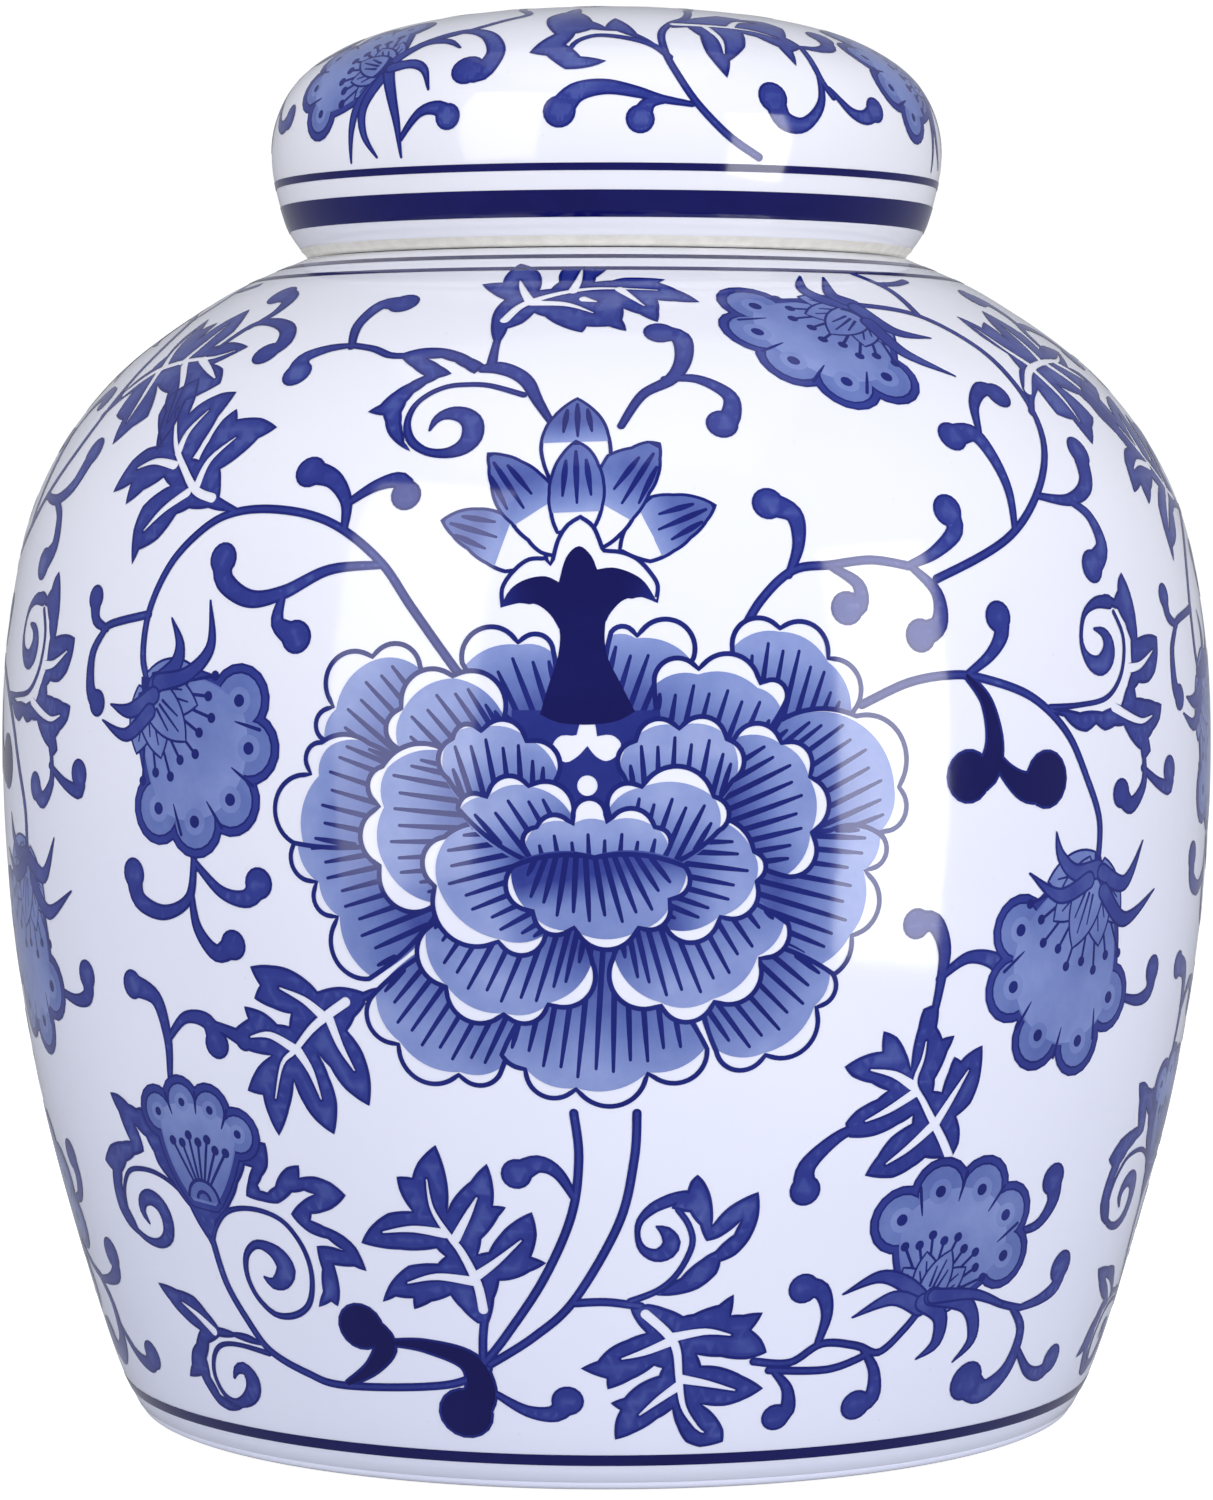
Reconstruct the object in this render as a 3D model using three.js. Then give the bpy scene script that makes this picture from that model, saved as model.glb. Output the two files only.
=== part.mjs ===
// Ginger jar: a round-shouldered porcelain jar and the domed cap lid that fits over its neck.
// Millimetres, +Z up. The origin is the centre of the foot ring, on the surface that the jar stands on.
import * as THREE from "three";

// Driving dimensions
const BELLY_RADIUS = 100;
const SEAT_HEIGHT = 189.5; // the flat ledge round the neck, where the lid sits
const LID_HEIGHT = 41; // from the lid's rim to the top of its dome
const SEAT_GAP = 0.3; // between the ledge and the lid's unglazed rim
const JAR_WALL = 5;
const LID_WALL = 4.5;

const FOOT_RADIUS = 78;
const FOOT_WIDTH = 8; // of the ring that the jar stands on
const FOOT_EDGE = 1.2; // rounding of the foot's two edges
const FOOT_RECESS = 5; // height of the base above the foot
const FLOOR_HEIGHT = 11; // of the inside, above the surface

const NECK_RADIUS = 44;
const NECK_WALL = 4.5;
const NECK_TOP = 204;
const NECK_ROOT = 1.5; // hollow rounding where the neck leaves the ledge
const THROAT_DEPTH = 4; // of the neck's straight inside, below the ledge

const LID_RIM_RADIUS = 49.8;
const RIM_EDGE = 0.9; // rounding of the lid's rim

const SEGMENTS = 60; // facets round the jar

// Height above the foot, as a share of the ledge's height, and radius, as a share of the belly's,
// up the outside of the jar
const JAR_SHAPE = [
  [0.008, 0.785],
  [0.047, 0.819],
  [0.137, 0.872],
  [0.274, 0.939],
  [0.422, 0.984],
  [0.57, 1.0],
  [0.697, 0.985],
  [0.807, 0.931],
  [0.897, 0.813],
  [0.966, 0.638],
  [1.0, 0.502],
];

// Height above the rim, as a share of the lid's height, and radius, as a share of the belly's,
// up the outside of the lid
const LID_SHAPE = [
  [0.03, 0.504],
  [0.14, 0.531],
  [0.37, 0.553],
  [0.56, 0.545],
  [0.72, 0.506],
  [0.845, 0.43],
  [0.925, 0.33],
  [0.975, 0.19],
  [1.0, 0],
];

const at = (radius, height) => new THREE.Vector2(radius, height);

function arc(centre, radius, fromDegrees, toDegrees, steps = 2) {
  const points = [];
  for (let i = 0; i <= steps; i++) {
    const angle = THREE.MathUtils.degToRad(
      fromDegrees + ((toDegrees - fromDegrees) * i) / steps,
    );
    points.push(
      at(
        centre.x + radius * Math.cos(angle),
        centre.y + radius * Math.sin(angle),
      ),
    );
  }
  return points;
}

function shapeCurve(shape, base, height) {
  return new THREE.SplineCurve(
    shape.map(([up, out]) => at(out * BELLY_RADIUS, base + up * height)),
  );
}

// The same curve moved inwards by a wall's thickness, sampled between two shares of its length
function insideOf(curve, wall, from, to, steps) {
  const points = [];
  for (let i = 0; i <= steps; i++) {
    const share = from + ((to - from) * i) / steps;
    const tangent = curve.getTangentAt(share);
    const inwards = at(-tangent.y, tangent.x);
    points.push(curve.getPointAt(share).addScaledVector(inwards, wall));
  }
  return points;
}

function turned(name, profile, material) {
  const geometry = new THREE.LatheGeometry(profile, SEGMENTS);
  const mesh = new THREE.Mesh(geometry, material);
  mesh.name = name;
  mesh.rotation.x = Math.PI / 2; // a lathe turns about Y, and the jar stands on Z
  return mesh;
}

function jarProfile() {
  const outside = shapeCurve(JAR_SHAPE, 0, SEAT_HEIGHT);
  const footInner = FOOT_RADIUS - FOOT_WIDTH;
  const foot = [
    at(0, FOOT_RECESS),
    at(footInner - FOOT_EDGE, FOOT_RECESS),
    ...arc(at(footInner + FOOT_EDGE, FOOT_EDGE), FOOT_EDGE, 180, 270),
    ...arc(at(FOOT_RADIUS - FOOT_EDGE, FOOT_EDGE), FOOT_EDGE, 270, 360),
  ];
  const neckOuter = [
    ...arc(
      at(NECK_RADIUS + NECK_ROOT, SEAT_HEIGHT + NECK_ROOT),
      NECK_ROOT,
      270,
      180,
      2,
    ),
    ...arc(
      at(NECK_RADIUS - NECK_WALL / 2, NECK_TOP - NECK_WALL / 2),
      NECK_WALL / 2,
      0,
      180,
      4,
    ),
  ];
  const shoulder = insideOf(outside, JAR_WALL, 0.965, 0.1, 13);
  const floor = [at(BELLY_RADIUS * 0.66, FLOOR_HEIGHT), at(0, FLOOR_HEIGHT)];
  return [
    ...foot,
    ...outside.getSpacedPoints(21),
    ...neckOuter,
    at(NECK_RADIUS - NECK_WALL, SEAT_HEIGHT - THROAT_DEPTH),
    ...shoulder,
    ...floor,
  ];
}

function lidProfile() {
  const rim = SEAT_HEIGHT + SEAT_GAP;
  const outside = shapeCurve(LID_SHAPE, rim, LID_HEIGHT);
  const rimInner = LID_RIM_RADIUS - LID_WALL;
  const inside = insideOf(outside, LID_WALL, 0.98, 0.08, 10);
  return [
    at(0, rim + LID_HEIGHT - LID_WALL),
    ...inside,
    ...arc(at(rimInner + RIM_EDGE, rim + RIM_EDGE), RIM_EDGE, 180, 270),
    ...arc(at(LID_RIM_RADIUS - RIM_EDGE, rim + RIM_EDGE), RIM_EDGE, 270, 345),
    ...outside.getSpacedPoints(16),
  ];
}

const glaze = (colour) =>
  new THREE.MeshStandardMaterial({
    color: colour,
    roughness: 0.08,
    metalness: 0,
  });

const gingerJar = new THREE.Group();
gingerJar.add(turned("jar_body", jarProfile(), glaze(0xe9ebf3)));
gingerJar.add(turned("lid", lidProfile(), glaze(0xe9ebf3)));

export default gingerJar;
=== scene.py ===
import math

import bpy
import numpy as np
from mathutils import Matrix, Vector, geometry


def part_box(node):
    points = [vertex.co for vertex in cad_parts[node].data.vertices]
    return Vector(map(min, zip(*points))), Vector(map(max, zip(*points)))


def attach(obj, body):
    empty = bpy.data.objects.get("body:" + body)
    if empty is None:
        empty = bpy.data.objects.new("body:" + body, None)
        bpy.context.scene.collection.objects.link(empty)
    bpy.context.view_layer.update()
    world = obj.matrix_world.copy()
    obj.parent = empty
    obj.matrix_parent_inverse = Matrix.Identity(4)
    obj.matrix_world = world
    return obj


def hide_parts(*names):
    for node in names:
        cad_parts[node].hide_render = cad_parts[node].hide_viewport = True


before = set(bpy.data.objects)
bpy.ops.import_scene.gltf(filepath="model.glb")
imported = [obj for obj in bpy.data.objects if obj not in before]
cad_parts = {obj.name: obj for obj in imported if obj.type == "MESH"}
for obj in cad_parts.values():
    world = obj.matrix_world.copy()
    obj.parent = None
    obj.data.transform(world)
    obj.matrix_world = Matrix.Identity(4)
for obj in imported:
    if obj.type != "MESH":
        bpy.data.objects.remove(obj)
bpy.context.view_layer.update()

# Lengths are in millimetres until a mesh is made, when they become metres.
MM = 0.001
_, jar_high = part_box("jar_body")
lid_low, lid_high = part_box("lid")
BELLY = jar_high[0] / MM
LID_BASE = lid_low[2] / MM
LID_TOP = lid_high[2] / MM

# Sizes that the CAD's boxes don't give
SEAT_GAP = 0.3  # between the ledge that the lid sits on and the lid's rim
SEAT = LID_BASE - SEAT_GAP
JAR_WALL = 5.0
LID_WALL = 4.5
FOOT_RADIUS = 78.0
FOOT_WIDTH = 8.0  # of the ring that the jar stands on
FOOT_EDGE = 1.2  # rounding of the foot's two edges
FOOT_RECESS = 5.0  # height of the base above the foot
FLOOR_RADIUS = 66.0  # of the flat floor inside
FLOOR_HEIGHT = 11.0
NECK_RADIUS = 44.0
NECK_WALL = 4.5
NECK_TOP = 204.0
NECK_ROOT = 1.5  # hollow rounding where the neck leaves the ledge
THROAT_DEPTH = 4.0  # of the neck's straight inside, below the ledge
LID_RIM_RADIUS = 49.8
RIM_EDGE = 0.9  # rounding of the lid's rim

# How the visible pieces are made
CURVE_SAMPLES = 1201  # up each outline
ROUND = 240  # facets round a turned piece
SHARP_DEGREES = 38  # between faces that meet at a visible edge
BAND_ROWS = 4  # of triangles across a painted band
PAINT_LIFT = 0.07  # of the paint off the glaze
BARE_LIFT = 0.05  # of bare porcelain off the rounded edges
RIM_LIFT = 0.06  # of bare porcelain off the lid's walls, beside its rim

# Metres, degrees and millimetres of lens
CAMERA_DISTANCE = 0.8
CAMERA_HEIGHT = 0.15221
CAMERA_PITCH = 3.134
CAMERA_LENS = 115.2
CAMERA_SENSOR = 36
AIM_HEIGHT = 0.13  # of the point on the jar's axis that the lights face

# Height as a share of the ledge's height, and radius as a share of the belly's, up the outside of the jar
JAR_SHAPE = [
    (0.008, 0.785),
    (0.047, 0.819),
    (0.137, 0.872),
    (0.274, 0.939),
    (0.422, 0.984),
    (0.57, 1.0),
    (0.697, 0.985),
    (0.807, 0.931),
    (0.897, 0.813),
    (0.966, 0.638),
    (1.0, 0.502),
]
# The same up the outside of the lid, from its rim
LID_SHAPE = [
    (0.03, 0.504),
    (0.14, 0.531),
    (0.37, 0.553),
    (0.56, 0.545),
    (0.72, 0.506),
    (0.845, 0.43),
    (0.925, 0.33),
    (0.975, 0.19),
    (1.0, 0.0),
]

# How much cobalt a patch of paint holds, from 0, bare glaze, to 1, navy
WASH = 0.34
WASH_DEEP = 0.46
LEAF = 0.62
RIM = 0.78
LINE = 0.79
DARK = 0.9
NAVY = 1.0

# How much darker the paint dries along its edges, and paler in its middle
POOLING = 0.03

# How the paint looks under the glaze: amount of cobalt, and linear colour
COBALT = [
    (0.0, (0.62, 0.66, 0.78)),
    (0.2, (0.35, 0.41, 0.68)),
    (0.34, (0.2, 0.26, 0.55)),
    (0.46, (0.11, 0.157, 0.425)),
    (0.62, (0.023, 0.036, 0.245)),
    (0.79, (0.004, 0.01, 0.155)),
    (0.9, (0.002, 0.003, 0.1)),
    (1.0, (0.0, 0.0, 0.078)),
]

# The white glaze's colour, away from the jar's foot
PORCELAIN = (0.8, 0.805, 0.87)

# A petal: how far its scallops bow as a share of their width, how wide its outline is, how far apart its
# hatch lines start, and the step in which a hatch line's length is found
SCALLOP = 0.34
PETAL_LINE = 0.75
HATCH_GAP = 2.6
HATCH_STEP = 0.5

# How far apart the points along a brush stroke are, and how thin it can be
STROKE_STEP = 0.9
THINNEST = 0.04

# How wide the darker line is along a brush stroke, and round a leaf
BRUSH_EDGE = 0.42
LEAF_EDGE = 0.5

# Paint is laid in this order, whatever the order in which motifs are drawn
UNDER, BODY, VEIN_EDGE, VEIN, FLOWER = range(5)


def spline_point(knots, share):
    """A point on the Catmull-Rom curve through the knots, as three.js makes it."""
    place = share * (len(knots) - 1)
    i = min(int(place), len(knots) - 2)
    t = place - i
    before = knots[max(i - 1, 0)]
    start, end = knots[i], knots[i + 1]
    after = knots[min(i + 2, len(knots) - 1)]
    pull_start = (end - before) / 2
    pull_end = (after - start) / 2
    return (
        (2 * start - 2 * end + pull_start + pull_end) * t**3
        + (3 * end - 3 * start - 2 * pull_start - pull_end) * t**2
        + pull_start * t
        + start
    )


def sample_shares(points, step):
    """Where samples about a step apart go along a curve through the points, as shares from 0 to 1."""
    spans = len(points) - 1
    shares = []
    for i in range(spans):
        reach = math.dist(points[i][:2], points[i + 1][:2])
        count = max(2, math.ceil(reach / step))
        shares += [(i + k / count) / spans for k in range(count)]
    return shares + [1.0]


def curve_points(points, shares):
    """The points at these shares of the curve through the given points."""
    knots = [np.array(p, float) for p in points]
    return np.array([spline_point(knots, share) for share in shares])


def smooth(points, step):
    """Samples about a step apart along the curve through the points."""
    return curve_points(points, sample_shares(points, step))


class Surface:
    """The outside of a turned piece. A place on it is (u, v): degrees round from the front, and mm up its
    curve."""

    def __init__(self, shape, base, rise):
        knots = [(out * BELLY, base + up * rise) for up, out in shape]
        curve = curve_points(knots, np.linspace(0, 1, CURVE_SAMPLES))
        self.radius, self.height = curve.T
        steps = np.hypot(*np.diff(curve, axis=0).T)
        self.reach = np.concatenate(([0], np.cumsum(steps)))
        self.length = self.reach[-1]
        self.lean_out = np.gradient(self.radius, self.reach)
        self.lean_up = np.gradient(self.height, self.reach)

    def mm_per_degree(self, v):
        """How long a degree round is at a length up the curve. It is never 0, even on the axis."""
        return np.radians(np.maximum(np.interp(v, self.reach, self.radius), 1.0))

    def solid(self, u, v, lift):
        """Points lifted off the surface, and the surface's normals there."""
        angle = np.radians(u)
        around = np.sin(angle), -np.cos(angle)
        out = np.interp(v, self.reach, self.lean_up)
        up = -np.interp(v, self.reach, self.lean_out)
        size = np.hypot(out, up)
        out, up = out / size, up / size
        radius = np.interp(v, self.reach, self.radius) + lift * out
        height = np.interp(v, self.reach, self.height) + lift * up
        points = np.stack((radius * around[0], radius * around[1], height), axis=1)
        normals = np.stack((out * around[0], out * around[1], up), axis=1)
        return points, normals


def arcs(corners, step=0.8):
    """Corners joined by circular arcs. A corner is (x, y) and maybe a bulge: how far the next side bows to
    the right of the way along it, as a share of its length."""
    outline = []
    for i, corner in enumerate(corners):
        start = np.array(corner[:2], float)
        end = np.array(corners[(i + 1) % len(corners)][:2], float)
        bulge = corner[2] if len(corner) > 2 else 0.0
        side = end - start
        right = np.array((side[1], -side[0]))
        turn = 2 * math.atan(2 * bulge)
        count = max(1, math.ceil(np.hypot(*side) * (1 + 2 * bulge**2) / step))
        for k in range(count):
            along, out = k / count, 0.0
            if abs(turn) > 0.02:
                bend = turn * (2 * along - 1)
                along = 0.5 + math.sin(bend) / (2 * math.sin(turn))
                out = (math.cos(bend) - math.cos(turn)) / (2 * math.sin(turn))
            outline.append(start + side * along + right * out)
    return np.array(outline)


def inside(outline, points):
    """Which points the outline winds round."""
    x, y = points[:, :1], points[:, 1:]
    x0, y0 = outline.T
    x1, y1 = np.roll(outline, -1, axis=0).T
    side = (x1 - x0) * (y - y0) - (x - x0) * (y1 - y0)
    rising = (y0 <= y) & (y1 > y) & (side > 0)
    falling = (y0 > y) & (y1 <= y) & (side < 0)
    return rising.sum(axis=1) != falling.sum(axis=1)


class Spot:
    """A place on a canvas where a motif is drawn in its own x and y, in mm, and maybe turned."""

    def __init__(self, canvas, u, v, turn=0.0):
        self.canvas = canvas
        self.u, self.v = u, v
        self.turn = math.radians(turn)

    def chart(self, points):
        """The motif's points as places on the surface. A third value, such as a width, is kept."""
        points = np.array(points, float)
        x, y = points[:, 0], points[:, 1]
        right = x * math.cos(self.turn) - y * math.sin(self.turn)
        up = x * math.sin(self.turn) + y * math.cos(self.turn)
        v = self.v + up
        placed = points.copy()
        placed[:, 0] = self.u + right / self.canvas.surface.mm_per_degree(v)
        placed[:, 1] = v
        return placed

    def fill(self, outline, tone, layer=FLOWER):
        """A tone can change across a fill: (start, end, tone at the start, tone at the end)."""
        if isinstance(tone, tuple):
            start, end, low, high = tone
            start, end = self.chart([start, end])[:, :2]
            tone = (start, end, low, high)
        self.canvas.fill(self.chart(outline), tone, layer)

    def stroke(self, points, tone):
        self.canvas.stroke(self.chart(points), tone)

    def dot(self, x, y, radius, tone, layer=FLOWER):
        turns = np.linspace(0, 2 * math.pi, 18, endpoint=False)
        circle = np.stack((x + radius * np.cos(turns), y + radius * np.sin(turns)), axis=1)
        self.fill(circle, tone, layer)


class Canvas:
    """Paint on a surface. The shapes are cut into one flat sheet of triangles, each with the topmost
    shape's tone, so that no two patches of paint overlap. A tone of None wipes the paint away."""

    def __init__(self, surface):
        self.surface = surface
        self.shapes = []

    def fill(self, outline, tone, layer=FLOWER):
        self.shapes.append((layer, np.array(outline, float)[:, :2], tone))

    def dot(self, u, v, radius, tone, layer=FLOWER):
        Spot(self, u, v).dot(0, 0, radius, tone, layer)

    def stroke(self, points, tone, layer=FLOWER):
        """A brush stroke along (u, v, width) points."""
        scale = self.surface.mm_per_degree(np.array([p[1] for p in points]))
        flat = [(p[0] * k, p[1], p[2]) for p, k in zip(points, scale)]
        path = curve_points(points, sample_shares(flat, STROKE_STEP))
        path[:, 2] = np.maximum(path[:, 2], THINNEST)
        scale = self.surface.mm_per_degree(path[:, 1])
        along = np.gradient(path[:, :2], axis=0)
        along[:, 0] *= scale
        along /= np.maximum(np.hypot(*along.T), 1e-9)[:, None]
        across = np.stack((-along[:, 1] / scale, along[:, 0]), axis=1)
        half = path[:, 2:] / 2
        left = path[:, :2] + across * half
        right = path[:, :2] - across * half
        end_cap = self.cap(path[-1], along[-1], half[-1, 0], scale[-1])
        start_cap = self.cap(path[0], -along[0], half[0, 0], scale[0])
        outline = np.concatenate((right, end_cap, left[::-1], start_cap))
        self.fill(outline, tone, layer)

    def cap(self, point, along, half, scale):
        """The round end of a stroke, from its right side to its left. A thin stroke's end is square."""
        if half < 0.15:
            return np.empty((0, 2))
        count = 3 if half < 0.6 else 7
        turns = np.radians(np.linspace(-90, 90, count + 2)[1:-1])
        x = half * (np.cos(turns) * along[0] - np.sin(turns) * along[1])
        y = half * (np.cos(turns) * along[1] + np.sin(turns) * along[0])
        return np.stack((point[0] + x / scale, point[1] + y), axis=1)

    def brush(self, strokes, dots=(), tone=LEAF, layers=(UNDER, BODY)):
        """Strokes and dots of one wet pass: a darker line round them all, and the pale middle inside it."""
        for points in strokes:
            self.stroke(points, RIM, layers[0])
        for points in strokes:
            inner = [(p[0], p[1], p[2] - 2 * BRUSH_EDGE) for p in points]
            if max(p[2] for p in inner) > 0.1:
                self.stroke(inner, tone, layers[1])
        for u, v, radius in dots:
            self.dot(u, v, radius, RIM, UNDER)
            self.dot(u, v, radius - BRUSH_EDGE, tone, BODY)

    def tones(self, tone, points):
        """The tone at each point, where a shape's tone is one value or changes along a line."""
        if not isinstance(tone, tuple):
            return np.full(len(points), tone)
        start, end, low, high = tone
        scale = self.surface.mm_per_degree((start[1] + end[1]) / 2)
        way = (np.array(end) - start) * (scale, 1)
        share = ((points - start) * (scale, 1)) @ way / (way @ way)
        return low + (high - low) * np.clip(share, 0, 1)

    def sheet(self, spacing):
        """The triangles of the painted sheet, its corners' places on the surface and each corner's tone."""
        stretch = np.array((math.radians(BELLY), 1.0))
        shapes = sorted(self.shapes, key=lambda shape: shape[0])
        points, edges = [], []
        for _, outline, _ in shapes:
            first = len(points)
            count = len(outline)
            points += [Vector(p) for p in outline * stretch]
            edges += [(first + k, first + (k + 1) % count) for k in range(count)]
        drawn = len(points)
        low = np.min([s[1].min(axis=0) for s in shapes], axis=0) * stretch
        high = np.max([s[1].max(axis=0) for s in shapes], axis=0) * stretch
        # A grid of points keeps the triangles small between the outlines
        for row, y in enumerate(np.arange(low[1], high[1], spacing)):
            for x in np.arange(low[0] + (row % 2) * spacing / 2, high[0], spacing):
                points.append(Vector((x, y)))
        corners, _, triangles, sources, *_ = geometry.delaunay_2d_cdt(points, edges, [], 0, 1e-4)
        open_ground = np.array([bool(s) and min(s) >= drawn for s in sources])
        corners = np.array([c[:] for c in corners]) / stretch
        triangles = np.array(triangles)
        middles = corners[triangles].mean(axis=1)
        # The last shape that a triangle lies in owns it
        owner = np.full(len(triangles), -1)
        for k, (_, outline, _) in enumerate(shapes):
            boxed = (middles >= outline.min(axis=0)) & (middles <= outline.max(axis=0))
            near = np.nonzero(np.all(boxed, axis=1))[0]
            owner[near[inside(outline, middles[near])]] = k
        tone = np.zeros((len(triangles), 3))
        painted = np.zeros(len(triangles), bool)
        for k, (layer, _, paint) in enumerate(shapes):
            mine = owner == k
            if paint is None or not mine.any():
                continue
            painted |= mine
            places = corners[triangles[mine]].reshape(-1, 2)
            tone[mine] = self.tones(paint, places).reshape(-1, 3)
            if layer == BODY and paint < DARK:
                tone[mine] += np.where(open_ground[triangles[mine]], -POOLING, POOLING)
        triangles, tone = triangles[painted], tone[painted]
        used, triangles = np.unique(triangles, return_inverse=True)
        return corners[used], triangles.reshape(-1, 3), tone


def grow(outline, by):
    """The outline moved outwards."""
    outline = np.array(outline, float)[:, :2]
    ahead = np.roll(outline, -1, axis=0) - outline
    behind = outline - np.roll(outline, 1, axis=0)
    ahead /= np.maximum(np.hypot(*ahead.T), 1e-9)[:, None]
    behind /= np.maximum(np.hypot(*behind.T), 1e-9)[:, None]
    along = ahead + behind
    along /= np.maximum(np.hypot(*along.T), 0.2)[:, None]
    return outline + by * turning(outline) * np.stack((along[:, 1], -along[:, 0]), axis=1)


def turning(outline):
    """1 for an outline that runs anticlockwise, and -1 for one that runs clockwise."""
    x, y = np.array([p[:2] for p in outline], float).T
    return 1 if np.sum(x * np.roll(y, -1) - np.roll(x, -1) * y) > 0 else -1


def plan(canvas, centre, points):
    """Chart points in mm about a centre."""
    placed = np.array(points, float)
    placed[:, 0] = (placed[:, 0] - centre[0]) * canvas.surface.mm_per_degree(placed[:, 1])
    placed[:, 1] -= centre[1]
    return placed


def patch(canvas, runs, tone, by=0.0):
    """A filled patch moved outwards by a distance. Each run of chart points is a smooth stretch of its
    outline."""
    centre = runs[0][0]
    outline = np.concatenate([smooth(plan(canvas, centre, run), 0.8)[:-1] for run in runs])
    Spot(canvas, *centre).fill(grow(outline, by), tone)


def edged(canvas, outline):
    """A leaf-blue patch with a darker line round it. Slight bows join the outline's chart points."""
    centre = outline[0]
    flat = plan(canvas, centre, outline)
    bow = 0.04 * turning(flat)
    shape = arcs([(x, y, bow) for x, y in flat])
    spot = Spot(canvas, *centre)
    spot.fill(shape, RIM, UNDER)
    spot.fill(grow(shape, -LEAF_EDGE), LEAF, BODY)


def vine(canvas, points, width=1.4):
    """A line of even width along chart points."""
    canvas.brush([[(u, v, width) for u, v in points]])


def leaf(canvas, outline, veins, width=1.5):
    """A jagged leaf with bare veins, in chart points. A vein tapers from its root, and has darker edges."""
    edged(canvas, outline)
    for grown, tone, layer in ((0.7, RIM, VEIN_EDGE), (0, None, VEIN)):
        for vein in veins:
            last = len(vein) - 1
            path = []
            for i, (u, v) in enumerate(vein):
                taper = 1 - 0.85 * (i / last) ** 1.5
                path.append((u, v, width * taper + grown * min(i, 1)))
            canvas.stroke(path, tone, layer)


def clipped(outline, point, way):
    """The part of the outline that lies short of a line through the point, square to the way."""
    kept = []
    for start, end in zip(outline, np.roll(outline, -1, axis=0)):
        a, b = (start - point) @ way, (end - point) @ way
        if a <= 0:
            kept.append(start)
        if a * b < 0:
            kept.append(start + (end - start) * a / (a - b))
    return np.array(kept)


def petal(canvas, base, edge, margin, tone=WASH + 0.04):
    """A scalloped petal that springs from a base. Its edge lists the points between its scallops, and maybe
    how far the next scallop bows. The wash stops short of the points by the margin."""
    centre = edge[0][:2]
    spot = Spot(canvas, *centre)
    base = plan(canvas, centre, [base])[0]
    flat = plan(canvas, centre, [e[:2] for e in edge])
    bulges = [e[2] if len(e) > 2 else SCALLOP for e in edge]
    bulges[-1] = 0.08
    way = turning([*flat, base])
    corners = [(x, y, way * b) for (x, y), b in zip(flat, bulges)]
    outline = arcs([*corners, (*base, way * 0.08)], 0.7)
    face = grow(outline, -PETAL_LINE)
    spot.fill(outline, LINE)
    spot.fill(face, None)
    middle = flat.mean(axis=0)
    inner = []
    for point in flat:
        inward = base - point
        inner.append(point + inward / np.hypot(*inward) * margin)
    bows = [0.14] * (len(inner) - 1) + [0.1]
    corners = [(x, y, way * bow) for (x, y), bow in zip(inner, bows)]
    wash = arcs([*corners, (*base, way * 0.1)], 1.0)
    spot.fill(wash, (middle, middle + 0.6 * (base - middle), tone - 0.05, tone + 0.19))
    spot.fill(np.concatenate((outline, outline[:1], face[:1], face[::-1])), LINE)
    ends = smooth(flat, 0.4)
    reaches = np.concatenate(([0], np.cumsum(np.hypot(*np.diff(ends, axis=0).T))))
    count = max(4, int(reaches[-1] / HATCH_GAP))
    focus = base + 1.9 * (base - middle)
    steps = np.arange(0, 20, HATCH_STEP)[:, None]
    # A hatch line runs towards the focus for as long as it stays on the petal's face
    for k in range(count):
        along = (k + 0.6) / (count + 0.2) * reaches[-1]
        place = np.array([np.interp(along, reaches, axis) for axis in ends.T])
        inward = focus - place
        inward = inward / np.hypot(*inward)
        start = place + inward * (margin + 1.7 + 1.0 * (k % 2))
        length = HATCH_STEP * np.argmin(np.append(inside(face, start + inward * steps), False))
        if length > 1:
            bend = start + 0.4 * length * inward
            end = start + length * inward
            spot.stroke([(*start, 0.5), (*bend, 0.85), (*end, 0.85)], LINE)


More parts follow.
